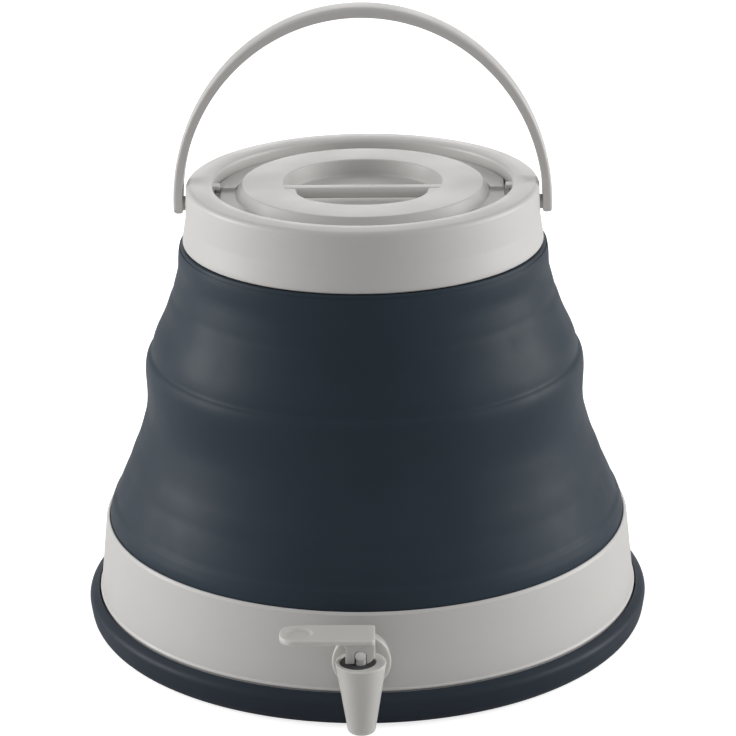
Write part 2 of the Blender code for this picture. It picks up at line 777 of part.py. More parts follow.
def make_flange_pad(side, slope_foot):
    """The raised block beside each notch, sloping down towards the back."""
    low = FLANGE_TOP - SMALL_ROUND
    outline = (
        (PAD_START, low),
        (PAD_START + PAD_LENGTH, low),
        (PAD_START + PAD_LENGTH, FLANGE_TOP),
        (PAD_START, FLANGE_TOP + PAD_RISE),
    )
    ends = sorted((side * (slope_foot - DISC_SLOPE / 2.0), side * (TAB_INNER_RADIUS - GAP - GAP)))
    return extruded("pad", outline, ends[0], ends[1], (1, 2, 0))


def make_lid_seal():
    """The seal ring in the plug's groove."""
    low = FLANGE_FOOT - PLUG_DEPTH + SEAL_RISE
    inner = PLUG_RADIUS - SEAL_WIDTH
    outer = NECK_RADIUS - GAP
    outline = rounded(
        (
            (inner, low, 0.0),
            (outer, low, SMALL_ROUND),
            (outer, low + SEAL_HEIGHT, SMALL_ROUND),
            (inner, low + SEAL_HEIGHT, 0.0),
        ),
        steps=1,
    )
    return lathe("lid_seal", outline)


def make_lid_liner():
    """The flat plate that closes the lid from below, under the recess."""
    top = RING_TOP - RECESS_DEPTH - LID_THICKNESS - GAP
    radius = PLUG_RADIUS - PLUG_WALL - GAP
    outline = ((0.0, top - LINER_THICKNESS), (radius, top - LINER_THICKNESS), (radius, top), (0.0, top))
    return lathe("lid_liner", outline)


def make_strap():
    """The bail's strap: a flat band bent to half an ellipse, which widens from its ends to its crown."""
    outer = handle_half_width()
    inner = outer - HANDLE_THICKNESS
    crown = HANDLE_RISE - HANDLE_CROWN
    outline = []
    for step in range(HANDLE_STEPS + 1):
        angle = math.pi * step / HANDLE_STEPS
        outline.append((outer * math.cos(angle), PIVOT_RISE + HANDLE_RISE * math.sin(angle)))
    for step in range(HANDLE_STEPS + 1):
        angle = math.pi * (1.0 - step / HANDLE_STEPS)
        outline.append((inner * math.cos(angle), PIVOT_RISE + crown * math.sin(angle)))
    strap = extruded("handle", outline, -HANDLE_WIDTH / 2.0, HANDLE_WIDTH / 2.0, (0, 2, 1))
    bevel = strap.modifiers.new("Edges", "BEVEL")
    bevel.width = EDGE_ROUND
    bevel.segments = 1
    bevel.limit_method = "ANGLE"
    bevel.angle_limit = math.radians(50.0)
    graph = bpy.context.evaluated_depsgraph_get()
    rounded_mesh = bpy.data.meshes.new_from_object(strap.evaluated_get(graph))
    strap.modifiers.clear()
    strap.data = rounded_mesh
    for vertex in strap.data.vertices:
        share = (vertex.co.z - PIVOT_RISE) / HANDLE_RISE
        width = HANDLE_WIDTH + (HANDLE_CROWN_WIDTH - HANDLE_WIDTH) * share
        vertex.co.y *= width / HANDLE_WIDTH
    return strap


def make_handle():
    """The bail: its strap, with a round boss and a headed stud at each pivot."""
    strap = make_strap()
    outer = handle_half_width()
    inner = outer - HANDLE_THICKNESS
    middle = inner + HANDLE_THICKNESS / 2.0
    wall = ring_radius(PIVOT_RISE)
    head_start = wall - RING_WALL - GAP - STUD_HEAD_PLAY
    head_end = head_start - STUD_HEAD_LENGTH
    centre = (0.0, 0.0, PIVOT_RISE)
    for side in (-1.0, 1.0):
        boss_ends = sorted((side * inner, side * outer))
        stud_ends = sorted((side * middle, side * (head_end + GAP)))
        head_ends = sorted((side * head_end, side * head_start))
        boss = rod("boss", HANDLE_BOSS, boss_ends[0], boss_ends[1], 0, centre)
        stud = rod("stud", STUD_RADIUS, stud_ends[0], stud_ends[1], 0, centre)
        head = rod("head", STUD_RADIUS + STUD_HEAD, head_ends[0], head_ends[1], 0, centre)
        join(strap, boss, stud, head)
    return strap


def make_tap_body():
    """The tap's body: threaded shank, round flange and a tapered spout with its valve chamber."""
    reach = tap_reach()
    flange_back = tap_pad_face() + GAP + OUTER_WASHER + GAP
    flange_front = flange_back + TAP_FLANGE_THICKNESS
    tail = tap_inner_face() - GAP - INNER_WASHER - GAP - NUT_THICKNESS - SHANK_TAIL
    turned = rounded(
        (
            (0.0, tail, 0.0),
            (SHANK_RADIUS, tail, SMALL_ROUND),
            (SHANK_RADIUS, flange_back, 0.0),
            (TAP_FLANGE_RADIUS, flange_back, 0.0),
            (TAP_FLANGE_RADIUS, flange_front, EDGE_ROUND),
            (TAP_NECK_RADIUS, flange_front, 0.0),
            (TAP_NECK_RADIUS, reach, 0.0),
            (0.0, reach, 0.0),
        ),
        steps=1,
    )
    spot = (0.0, 0.0, TAP_RISE)
    body = lathe("tap_body", turned, TUBE_STEPS, spot, along_y=True)
    top = cup_top()
    cup = rounded(
        (
            (0.0, TIP_RISE, 0.0),
            (TIP_RADIUS, TIP_RISE, TIP_ROUND),
            (CUP_RADIUS, top, SMALL_ROUND),
            (0.0, top, 0.0),
        )
    )
    axis = (0.0, -reach, 0.0)
    join(body, lathe("cup", cup, TUBE_STEPS, axis))
    pocket_foot = top - BONNET_THICKNESS - GAP
    seat = top - SEAT_DROP
    chamber = (
        (0.0, TIP_RISE - OVERRUN),
        (OUTLET_RADIUS, TIP_RISE - OVERRUN),
        (OUTLET_RADIUS, seat),
        (CHAMBER_RADIUS, seat),
        (CHAMBER_RADIUS, pocket_foot + GAP),
        (0.0, pocket_foot + GAP),
    )
    pocket = rod("pocket", BONNET_RADIUS, pocket_foot, top + OVERRUN, 2, (-BONNET_OFFSET, -reach, 0.0))
    bore = rod("bore", SHANK_BORE, -reach, -tail + OVERRUN, 1, (0.0, 0.0, TAP_RISE))
    return cut(body, lathe("chamber", chamber, TUBE_STEPS, axis), pocket, bore)


def make_washer(name, back, thickness):
    """A flat rubber washer on the shank, its back face at a distance from the carrier's axis."""
    inner = SHANK_RADIUS + GAP
    outline = (
        (inner, back),
        (inner + WASHER_WIDTH, back),
        (inner + WASHER_WIDTH, back + thickness),
        (inner, back + thickness),
    )
    return lathe(name, outline, TUBE_STEPS, (0.0, 0.0, TAP_RISE), along_y=True)


def make_tap_nut():
    """The six-sided nut that holds the tap from inside."""
    outer_face = tap_inner_face() - GAP - INNER_WASHER - GAP
    across = (SHANK_RADIUS + NUT_WALL) / math.cos(math.pi / 6.0)
    start = -outer_face
    end = start + NUT_THICKNESS
    centre = (0.0, 0.0, TAP_RISE)
    nut = rod("tap_nut", across, start, end, 1, centre, 6)
    hole = rod("hole", SHANK_RADIUS + GAP, start - OVERRUN, end + OVERRUN, 1, centre)
    return cut(nut, hole)


def make_bonnet_seal():
    """The dark rubber disc in the cup's mouth that seals round the stem."""
    top = cup_top()
    foot = top - BONNET_THICKNESS
    reach = tap_reach()
    disc = rod("tap_bonnet_seal", BONNET_RADIUS - GAP, foot, top, 2, (-BONNET_OFFSET, -reach, 0.0))
    hole = rod("hole", STEM_RADIUS + GAP, foot - OVERRUN, top + OVERRUN, 2, (0.0, -reach, 0.0))
    return cut(disc, hole)


def make_plunger():
    """The tap's plunger: a stem with flats and a cross trunnion above, a collar and a button below."""
    pivot = lever_pivot()
    seat = cup_top() - SEAT_DROP
    valve_foot = seat + GAP
    collar_foot = valve_foot + VALVE_THICKNESS + GAP
    button_top = valve_foot - GAP
    stem_top = pivot.z + TRUNNION_RADIUS - GAP
    outline = (
        (0.0, button_top - BUTTON_THICKNESS),
        (BUTTON_RADIUS, button_top - BUTTON_THICKNESS),
        (BUTTON_RADIUS, button_top),
        (STUB_RADIUS, button_top),
        (STUB_RADIUS, collar_foot),
        (COLLAR_RADIUS, collar_foot),
        (COLLAR_RADIUS, collar_foot + COLLAR_THICKNESS),
        (STEM_RADIUS, collar_foot + COLLAR_THICKNESS),
        (STEM_RADIUS, stem_top),
        (0.0, stem_top),
    )
    plunger = lathe("tap_plunger", outline, TUBE_STEPS, (0.0, pivot.y, 0.0))
    flats_foot = pivot.z - CAM_REST - CAM_LIFT - GAP
    for side in (-1.0, 1.0):
        ends = sorted((pivot.y + side * STEM_FLAT, pivot.y + side * (STEM_RADIUS + OVERRUN)))
        flat = box(
            "flat",
            (-STEM_RADIUS - OVERRUN, ends[0], flats_foot),
            (STEM_RADIUS + OVERRUN, ends[1], stem_top + OVERRUN),
        )
        cut(plunger, flat)
    reach = FORK_HALF_WIDTH - GAP / 2.0
    trunnion = rod("trunnion", TRUNNION_RADIUS, pivot.y - reach, pivot.y + reach, 1, pivot)
    return join(plunger, trunnion)


def make_valve_seal():
    """The rubber ring under the plunger's collar that closes the seat."""
    foot = cup_top() - SEAT_DROP + GAP
    inner = STUB_RADIUS + GAP
    outline = rounded(
        (
            (inner, foot, 0.0),
            (VALVE_RADIUS, foot, 0.0),
            (VALVE_RADIUS, foot + VALVE_THICKNESS, EDGE_ROUND),
            (inner, foot + VALVE_THICKNESS, 0.0),
        ),
        steps=1,
    )
    return lathe("tap_valve_seal", outline, TUBE_STEPS, (0.0, -tap_reach(), 0.0))


def cam_line():
    """Returns the cam's edge about the pivot as (across, up).

    The edge is an involute, so the pivot's height over the flat cup rises in proportion to the turn.
    """
    rate = CAM_LIFT / CAM_TURN
    line = []
    for step in range(CAM_STEPS + 1):
        turn = CAM_TURN * step / CAM_STEPS
        height = CAM_REST + rate * turn
        across = height * math.sin(turn) + rate * math.cos(turn)
        up = rate * math.sin(turn) - height * math.cos(turn)
        line.append((across, up))
    return line


def make_lever():
    """The tap's lever: a long paddle with a finger dimple over a fork whose feet are cams."""
    pivot = lever_pivot()
    root = PADDLE_RISE + PADDLE_THICKNESS / 2.0
    end = CAM_REST + CAM_LIFT
    outline = [(-FORK_REACH - FORK_FLARE, root), (-FORK_REACH - FORK_FLARE, PADDLE_RISE - EDGE_ROUND)]
    outline += [(-FORK_REACH, PADDLE_RISE - FORK_FLARE), (-FORK_REACH, -CAM_REST)]
    outline += cam_line() + [(end, root)]
    placed = [(across, pivot.z + up) for across, up in outline]
    near = pivot.y - FORK_HALF_WIDTH
    far = pivot.y + FORK_HALF_WIDTH
    lever = extruded("tap_lever", placed, near, far, (0, 2, 1))
    paddle = rounded(
        (
            (-PADDLE_LENGTH, pivot.y - PADDLE_HALF_WIDTH, PADDLE_END_ROUND),
            (end, pivot.y - PADDLE_HALF_WIDTH, SMALL_ROUND),
            (end, pivot.y + PADDLE_HALF_WIDTH, SMALL_ROUND),
            (-PADDLE_LENGTH, pivot.y + PADDLE_HALF_WIDTH, PADDLE_END_ROUND),
        ),
        steps=5,
    )
    low = pivot.z + PADDLE_RISE
    join(lever, extruded("paddle", paddle, low, low + PADDLE_THICKNESS, (0, 1, 2)))
    inner = STEM_FLAT + GAP
    hollow = TRUNNION_RADIUS + EDGE_ROUND
    slot = box(
        "slot",
        (-hollow, pivot.y - inner, pivot.z - CAM_REST - OVERRUN),
        (end + OVERRUN, pivot.y + inner, pivot.z + hollow),
    )
    seat = rod("seat", TRUNNION_RADIUS + GAP, near - OVERRUN, far + OVERRUN, 1, pivot)
    mouth = box(
        "mouth",
        (-MOUTH_HALF_WIDTH, near - OVERRUN, pivot.z - CAM_REST - OVERRUN),
        (MOUTH_HALF_WIDTH, far + OVERRUN, pivot.z),
    )
    return cut(lever, slot, seat, mouth, make_dimple(pivot))


def make_dimple(pivot):
    """The shallow oval hollow for the finger, as a squashed ball at the paddle's top face."""
    builder = bmesh.new()
    bmesh.ops.create_uvsphere(builder, u_segments=16, v_segments=8, radius=DIMPLE_LENGTH / 2.0)
    squash = Matrix.Diagonal((1.0, DIMPLE_WIDTH / DIMPLE_LENGTH, 2.0 * DIMPLE_DEPTH / DIMPLE_LENGTH, 1.0))
    top = pivot.z + PADDLE_RISE + PADDLE_THICKNESS
    centre = (DIMPLE_INSET - PADDLE_LENGTH, pivot.y, top)
    builder.transform(Matrix.Translation(centre) @ squash)
    return object_from(builder, "dimple")


def main():
    """Builds every piece, from the ground up, on the empties of its joints."""
    clear_scene()
    grey = make_material("pale_grey", PALE_GREY, 0.42)
    navy = make_material("navy", NAVY, 0.55)
    tap_grey = make_material("tap_grey", TAP_GREY, 0.30)
    rubber = make_material("rubber_black", RUBBER_BLACK, 0.60)
    seal = make_material("seal_white", SEAL_WHITE, 0.50)

    carrier = make_empty("carrier", (0.0, 0.0, 0.0))
    middle = make_empty("middle_fold", (0.0, 0.0, MIDDLE_FOOT), carrier)
    upper = make_empty("upper_fold", (0.0, 0.0, CUFF_TOP), middle)
    handle_axis = make_empty("handle_axis", (0.0, 0.0, PIVOT_RISE), upper)
    lid_axis = make_empty("lid_axis", (0.0, 0.0, NECK_LEDGE), upper)
    tap_axis = make_empty("tap_axis", (0.0, -tap_reach(), cup_top()), carrier)
    lever_axis = make_empty("lever_axis", lever_pivot(), tap_axis)

    finish(make_foot_ring(), carrier, navy)
    finish(make_base_shell(), carrier, grey)
    finish(make_lower_clamp(), carrier, grey)
    finish(make_lower_wall(), carrier, navy)
    finish(make_middle_wall(), middle, navy)
    finish(make_upper_wall(), upper, navy)
    finish(make_upper_clamp(), upper, grey)
    finish(make_top_ring(), upper, grey)
    finish(make_neck(), upper, grey)
    finish(make_handle(), handle_axis, grey)
    finish(make_lid(), lid_axis, grey)
    finish(make_lid_seal(), lid_axis, seal)
    finish(make_lid_liner(), lid_axis, grey)
    finish(make_tap_body(), carrier, tap_grey)
    outer_washer_back = tap_pad_face() + GAP
    inner_washer_back = tap_inner_face() - GAP - INNER_WASHER
    finish(make_washer("tap_outer_washer", outer_washer_back, OUTER_WASHER), carrier, rubber)
    finish(make_washer("tap_inner_washer", inner_washer_back, INNER_WASHER), carrier, rubber)
    finish(make_tap_nut(), carrier, tap_grey)
    finish(make_bonnet_seal(), carrier, rubber)
    finish(make_plunger(), tap_axis, seal)
    finish(make_valve_seal(), tap_axis, rubber)
    finish(make_lever(), lever_axis, tap_grey)
    carrier.location.y = (tap_reach() + CUP_RADIUS - foot_reach()) / 2.0


main()
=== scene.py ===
"""Looks of the collapsible water carrier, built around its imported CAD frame.

Every sub-assembly is a class: its fields are the sizes it is made from, in millimetres about the carrier's
upright axis, and its methods build the meshes and dress them. Shapes are numpy grids: a closed profile
turned about an axis, a section carried along a path, or an outline given a thickness. new_piece turns them to
metres.
"""

import logging
import math
from dataclasses import dataclass
from enum import Enum
from functools import cache

import bmesh
import bpy
import numpy as np
from mathutils import Matrix, Vector


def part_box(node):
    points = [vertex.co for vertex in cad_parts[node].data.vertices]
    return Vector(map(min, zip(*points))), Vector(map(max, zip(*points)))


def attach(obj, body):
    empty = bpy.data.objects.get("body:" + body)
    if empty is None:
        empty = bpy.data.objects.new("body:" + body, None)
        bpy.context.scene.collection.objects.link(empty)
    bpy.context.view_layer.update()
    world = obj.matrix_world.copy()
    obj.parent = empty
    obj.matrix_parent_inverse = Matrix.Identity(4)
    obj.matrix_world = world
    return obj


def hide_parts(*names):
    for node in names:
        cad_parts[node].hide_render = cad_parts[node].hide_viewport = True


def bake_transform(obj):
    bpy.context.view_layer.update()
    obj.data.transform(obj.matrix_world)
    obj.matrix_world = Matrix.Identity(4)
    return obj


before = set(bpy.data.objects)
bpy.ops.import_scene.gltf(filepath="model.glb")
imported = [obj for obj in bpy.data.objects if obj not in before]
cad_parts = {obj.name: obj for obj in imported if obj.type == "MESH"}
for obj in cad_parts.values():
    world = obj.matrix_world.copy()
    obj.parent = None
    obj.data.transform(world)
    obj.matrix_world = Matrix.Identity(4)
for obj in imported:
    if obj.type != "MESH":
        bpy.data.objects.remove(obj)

Point = tuple[float, float]
Triple = tuple[float, float, float]
Piece = bpy.types.Object
Material = bpy.types.Material
Socket = bpy.types.NodeSocket
Value = Socket | float | tuple[float, ...]

LOG = logging.getLogger("water_carrier")
MM = 0.001
IMAGE_SIDE = 736.0
AXIS_Y = sum(corner[1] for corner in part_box("wall_middle")) / 2.0
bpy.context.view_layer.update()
ORIGIN = (0.0, 0.0, 0.0)
WELD = 0.002 * MM
SHARP_ANGLE = math.radians(38.0)
BEVEL_ANGLE = math.radians(35.0)
STRAIGHT_ANGLE = math.radians(88.5)
FILLET_SHARE = 0.48
TURN_STEPS = 256
CUP_TURN_STEPS = 128
PAD_TURN_STEPS = 96
PIN_TURN_STEPS = 64
GAP = 0.3
TAP_HEIGHT = 34.503


class Axis(Enum):
    """The line a turned piece goes round, as the columns (radial, radial, axial) in the frame."""

    UP = ((1.0, 0.0, 0.0), (0.0, 1.0, 0.0), (0.0, 0.0, 1.0))
    FRONT = ((1.0, 0.0, 0.0), (0.0, 0.0, 1.0), (0.0, -1.0, 0.0))
    RIGHT = ((0.0, 1.0, 0.0), (0.0, 0.0, 1.0), (1.0, 0.0, 0.0))


class Plane(Enum):
    """The plane a slab's outline lies in, as the numbers of its two axes and of the axis of its thickness."""

    GROUND = (0, 1, 2)
    FRONT = (0, 2, 1)
    SIDE = (1, 2, 0)


class Shader:
    """Builds the nodes of one material or world, one socket at a time."""

    def __init__(self, owner: Material | bpy.types.World, shader: str = "Principled BSDF") -> None:
        """Turns the owner's nodes on and finds its shader.

        Args:
            owner: the new material or world.
            shader: its shader node's name.
        """
        owner.use_nodes = True
        self.owner = owner
        self.nodes = owner.node_tree.nodes
        self.links = owner.node_tree.links
        self.shader = self.nodes[shader]

    def node(self, kind: str, inputs: dict[str | int, Value], **settings: str | bool) -> bpy.types.Node:
        """Adds a node.

        Args:
            kind: the node's type.
            inputs: the socket or the plain value for each input's name or number.
            settings: the node's own properties.

        Returns:
            The node.
        """
        node = self.nodes.new(kind)
        for key, value in settings.items():
            setattr(node, key, value)
        for key, value in inputs.items():
            if isinstance(value, Socket):
                self.links.new(value, node.inputs[key])
            else:
                node.inputs[key].default_value = value
        return node

    def noise(self, scale: float, detail: float, stretch: Triple = (1.0, 1.0, 1.0)) -> Socket:
        """Adds a noise on the piece's own coordinates.

        Args:
            scale: waves per metre.
            detail: octaves.
            stretch: factors on the three axes before the noise.

        Returns:
            The socket with the noise's value.
        """
        place = self.node("ShaderNodeTexCoord", {}).outputs["Object"]
        place = self.node("ShaderNodeMapping", {"Vector": place, "Scale": stretch}).outputs["Vector"]
        inputs = {"Vector": place, "Scale": scale, "Detail": detail}
        return self.node("ShaderNodeTexNoise", inputs).outputs["Fac"]

    def ramp(self, value: Socket, low: float, high: float, start: float, end: float) -> Socket:
        """Returns a value's span from low to high, mapped smoothly onto start to end and held there."""
        inputs = {"Value": value, "From Min": low, "From Max": high, "To Min": start, "To Max": end}
        return self.node("ShaderNodeMapRange", inputs, interpolation_type="SMOOTHSTEP").outputs["Result"]

    def add(self, first: Socket, second: Socket) -> Socket:
        """Adds two sockets and returns the socket with the sum, held between zero and one."""
        node = self.node("ShaderNodeMath", {0: first, 1: second}, operation="ADD", use_clamp=True)
        return node.outputs["Value"]

    def mix(self, factor: Socket, first: Triple, second: Triple) -> Socket:
        """Returns the mix of two colours: the first at a factor of zero, the second at one."""
        inputs = {"Factor": factor, "A": (*first, 1.0), "B": (*second, 1.0)}
        return self.node("ShaderNodeMix", inputs, data_type="RGBA").outputs["Result"]

    def seen(self) -> Socket:
        """Returns a socket that is one for rays from the camera, also through clear plastic, or else zero."""
        rays = self.node("ShaderNodeLightPath", {}).outputs
        return self.add(rays["Is Camera Ray"], rays["Is Transmission Ray"])

    def bump(self, height: Socket, depth: float, distance: float) -> None:
        """Adds a bump from a height socket in front of the shader.

        Args:
            height: the socket with the height.
            depth: the bump's strength.
            distance: the height of one unit, in metres.
        """
        node = self.node("ShaderNodeBump", {"Height": height, "Strength": depth, "Distance": distance})
        normal = self.shader.inputs["Normal"]
        if normal.is_linked:
            self.links.new(normal.links[0].from_socket, node.inputs["Normal"])
        self.links.new(node.outputs["Normal"], normal)

    def set(self, **values: float | tuple[float, ...]) -> None:
        """Sets plain values on the shader, by socket name with underscores for spaces."""
        for key, value in values.items():
            self.shader.inputs[key.replace("_", " ")].default_value = value

    def drive(self, socket: str, value: Socket) -> None:
        """Links a socket's value to the shader's socket of that name."""
        self.links.new(value, self.shader.inputs[socket])


def tinted(colour: Triple, factor: float) -> Triple:
    """Returns a colour made lighter or darker by one factor."""
    return tuple(min(1.0, channel * factor) for channel in colour)


@dataclass(frozen=True)
class PlasticFinish:
    """A moulded plastic: its slot in the record, its colour and gloss, and how grained and scuffed it is."""

    name: str
    slot: str
    colour: Triple
    roughness: float
    grain_depth: float
    scuff: float
    specular: float = 0.5
    subsurface: float = 0.0
    drift_scale: float = 9.0
    scuff_scale: float = 260.0
    cloud_scale: float = 38.0
    grain_scale: float = 2600.0
    wave_scale: float = 55.0
    drift_tints: Point = (0.965, 1.03)
    scuff_stretch: Triple = (1.0, 1.0, 0.12)
    scuff_span: Point = (0.60, 0.72)
    scuff_gloss: float = 0.16
    cloud_span: Point = (0.3, 0.7)
    cloud_swing: Point = (-0.04, 0.05)
    wave_depth: float = 0.05
    grain_height: float = 0.2 * MM
    wave_height: float = 0.4 * MM
    light_reach: Triple = (4.0 * MM, 3.6 * MM, 3.2 * MM)

    def make(self) -> Material:
        """Makes a plastic with a fine spark-eroded grain, slow colour drift and faint hairline scuffs.

        Returns:
            The material.
        """
        shader = Shader(bpy.data.materials.new(self.name))
        dark, light = (tinted(self.colour, tint) for tint in self.drift_tints)
        shader.drive("Base Color", shader.mix(shader.noise(self.drift_scale, 3.0), dark, light))
        hairlines = shader.noise(self.scuff_scale, 5.0, self.scuff_stretch)
        scuffs = shader.ramp(hairlines, *self.scuff_span, 0.0, self.scuff_gloss * self.scuff)
        smooth, rough = (self.roughness + swing for swing in self.cloud_swing)
        cloud = shader.ramp(shader.noise(self.cloud_scale, 4.0), *self.cloud_span, smooth, rough)
        shader.drive("Roughness", shader.add(cloud, scuffs))
        shader.bump(shader.noise(self.grain_scale, 2.0), self.grain_depth, self.grain_height)
        shader.bump(shader.noise(self.wave_scale, 2.0), self.wave_depth, self.wave_height)
        shader.set(Specular_IOR_Level=self.specular, Subsurface_Weight=self.subsurface)
        shader.set(Subsurface_Radius=self.light_reach, Subsurface_Scale=1.0)
        return shader.owner


@dataclass(frozen=True)
class SiliconeFinish:
    """A soft silicone: its slot in the record, its colour, gloss and sheen, and how dusty it is."""

    name: str
    slot: str
    colour: Triple
    roughness: float
    sheen: float
    dust: float
    specular: float = 0.3
    cloud_scale: float = 16.0
    speck_scale: float = 900.0
    gloss_scale: float = 30.0
    grain_scale: float = 1500.0
    wave_scale: float = 24.0
    cloud_span: Point = (0.35, 0.75)
    cloud_share: float = 0.35
    speck_span: Point = (0.70, 0.78)
    speck_share: float = 0.5
    dust_tint: float = 1.45
    gloss_span: Point = (0.3, 0.7)
    gloss_swing: Point = (-0.05, 0.07)
    grain_depth: float = 0.06
    wave_depth: float = 0.10
    wave_stretch: Triple = (1.0, 1.0, 0.5)
    grain_height: float = 0.2 * MM
    wave_height: float = 0.8 * MM
    sheen_roughness: float = 0.45

    def make(self) -> Material:
        """Makes a matt silicone with a light sheen, specks of pale dust and slow waves in its surface.

        Returns:
            The material.
        """
        shader = Shader(bpy.data.materials.new(self.name))
        cloud = shader.ramp(shader.noise(self.cloud_scale, 5.0), *self.cloud_span, 0.0, self.cloud_share)
        specks = shader.noise(self.speck_scale, 3.0)
        specks = shader.ramp(specks, *self.speck_span, 0.0, self.speck_share * self.dust)
        dusty = tinted(self.colour, self.dust_tint)
        shader.drive("Base Color", shader.mix(shader.add(cloud, specks), self.colour, dusty))
        smooth, rough = (self.roughness + swing for swing in self.gloss_swing)
        gloss = shader.ramp(shader.noise(self.gloss_scale, 6.0), *self.gloss_span, smooth, rough)
        shader.drive("Roughness", gloss)
        shader.bump(shader.noise(self.grain_scale, 3.0), self.grain_depth, self.grain_height)
        waves = shader.noise(self.wave_scale, 3.0, self.wave_stretch)
        shader.bump(waves, self.wave_depth, self.wave_height)
        shader.set(Specular_IOR_Level=self.specular)
        shader.set(Sheen_Weight=self.sheen, Sheen_Roughness=self.sheen_roughness)
        return shader.owner


PALE_GREY = PlasticFinish("pale_grey_plastic", "pale_grey", (0.602, 0.590, 0.574), 0.42, 0.035, 0.25)
LID_GREY = PlasticFinish("lid_grey_plastic", "pale_grey", (0.585, 0.574, 0.558), 0.40, 0.03, 0.35)
TAP_GREY = PlasticFinish("tap_grey_plastic", "tap_grey", (0.61, 0.602, 0.58), 0.32, 0.02, 0.2, 0.4, 0.6)
SEAL_WHITE = PlasticFinish("seal_white", "seal_white", (0.88, 0.88, 0.86), 0.34, 0.03, 0.1, 0.5, 0.4)
NAVY = SiliconeFinish("navy_silicone", "navy", (0.0245, 0.0365, 0.0505), 0.48, 0.025, 0.3, 0.155)
FOOT_NAVY = SiliconeFinish("navy_foot_rubber", "navy", (0.0215, 0.0300, 0.0430), 0.46, 0.02, 0.5, 0.17)
BLACK = SiliconeFinish("black_rubber", "rubber_black", (0.035, 0.035, 0.037), 0.6, 0.1, 0.3)

Finish = PlasticFinish | SiliconeFinish


@cache
def material_of(finish: Finish) -> Material:
    """Returns a finish's material, which is made at its first use."""
    return finish.make()


def fillet(*corners: Triple, steps: int = 6) -> np.ndarray:
    """Rounds the corners of a closed outline.

    Each (x, y, radius) corner becomes an arc that touches both of its sides; the radius is held so that an
    arc takes at most just under half of a side.

    Args:
        corners: the outline's corners.
        steps: segments in each arc.

    Returns:
        The outline's points, one row each.
    """
    spots = np.array([corner[:2] for corner in corners])
    pieces = []
    for index, (_, _, radius) in enumerate(corners):
        here = spots[index]
        before = spots[index - 1] - here
        after = spots[(index + 1) % len(corners)] - here
        length_before, length_after = np.linalg.norm(before), np.linalg.norm(after)
        before, after = before / length_before, after / length_after
        half = math.acos(float(np.clip(before @ after, -1.0, 1.0))) / 2.0
        if radius <= 0.0 or half > STRAIGHT_ANGLE:
            pieces.append(here[None, :])
            continue
        reach = min(radius / math.tan(half), FILLET_SHARE * min(length_before, length_after))
        radius = reach * math.tan(half)
        bisector = (before + after) / np.linalg.norm(before + after)
        centre = here + bisector * radius / math.sin(half)
        first, last = here + before * reach - centre, here + after * reach - centre
        turn = math.atan2(first[0] * last[1] - first[1] * last[0], first @ last)
        angles = np.linspace(0.0, turn, steps + 1)
        cosine, sine = np.cos(angles), np.sin(angles)
        arc = np.stack([first[0] * cosine - first[1] * sine, first[0] * sine + first[1] * cosine], axis=1)
        pieces.append(centre + arc)
    return np.concatenate(pieces)


def smooth_curve(knots: tuple[Point, ...], count: int) -> np.ndarray:
    """Carries a smooth curve through knots without overshoot.

    Between knots the second value is a cubic of the first, with slopes that are the harmonic mean of the
    neighbouring chords and zero where those turn back.

    Args:
        knots: (position, value) pairs with rising positions.
        count: how many points to return.

    Returns:
        The curve as rows of (position, value).
    """
    x, y = np.array(knots).T
    step, rise = np.diff(x), np.diff(y)
    chord = rise / step
    slope = np.concatenate([[chord[0]], np.zeros(len(x) - 2), [chord[-1]]])
    same = chord[:-1] * chord[1:] > 0.0
    mean = 2.0 * chord[:-1] * chord[1:] / np.where(same, chord[:-1] + chord[1:], 1.0)
    slope[1:-1] = np.where(same, mean, 0.0)
    at = np.linspace(x[0], x[-1], count)
    cell = np.clip(np.searchsorted(x, at, side="right") - 1, 0, len(step) - 1)
    share = (at - x[cell]) / step[cell]
    square, cube = share**2, share**3
    value = (2 * cube - 3 * square + 1) * y[cell] + (cube - 2 * square + share) * step[cell] * slope[cell]
    value += (3 * square - 2 * cube) * y[cell + 1] + (cube - square) * step[cell] * slope[cell + 1]
    return np.stack([at, value], axis=1)


def smoothstep(value: np.ndarray, low: float, high: float) -> np.ndarray:
    """Returns a smooth rise from zero at low to one at high."""
    share = np.clip((value - low) / (high - low), 0.0, 1.0)
    return share * share * (3.0 - 2.0 * share)


def new_piece(name: str, points: np.ndarray, faces: list[list[int]], weld: bool = False) -> Piece:
    """Makes a smooth shaded object with its faces turned outward.

    Args:
        name: the piece's name.
        points: its points in millimetres about the carrier's axis, in any number of rows.
        faces: each face's point numbers.
        weld: merges points that coincide and closes open ends.

    Returns:
        The object, in metres.
    """
    mesh = bpy.data.meshes.new(name)
    mesh.from_pydata(points.reshape(-1, 3) * MM + np.array([0.0, AXIS_Y, 0.0]), [], faces)
    builder = bmesh.new()
    builder.from_mesh(mesh)
    if weld:
        bmesh.ops.remove_doubles(builder, verts=builder.verts, dist=WELD)
        open_edges = [edge for edge in builder.edges if edge.is_boundary]
        if open_edges:
            bmesh.ops.holes_fill(builder, edges=open_edges)
    bmesh.ops.recalc_face_normals(builder, faces=builder.faces)
    builder.to_mesh(mesh)
    builder.free()
    mesh.shade_smooth()
    piece = bpy.data.objects.new(name, mesh)
    bpy.context.scene.collection.objects.link(piece)
    return piece


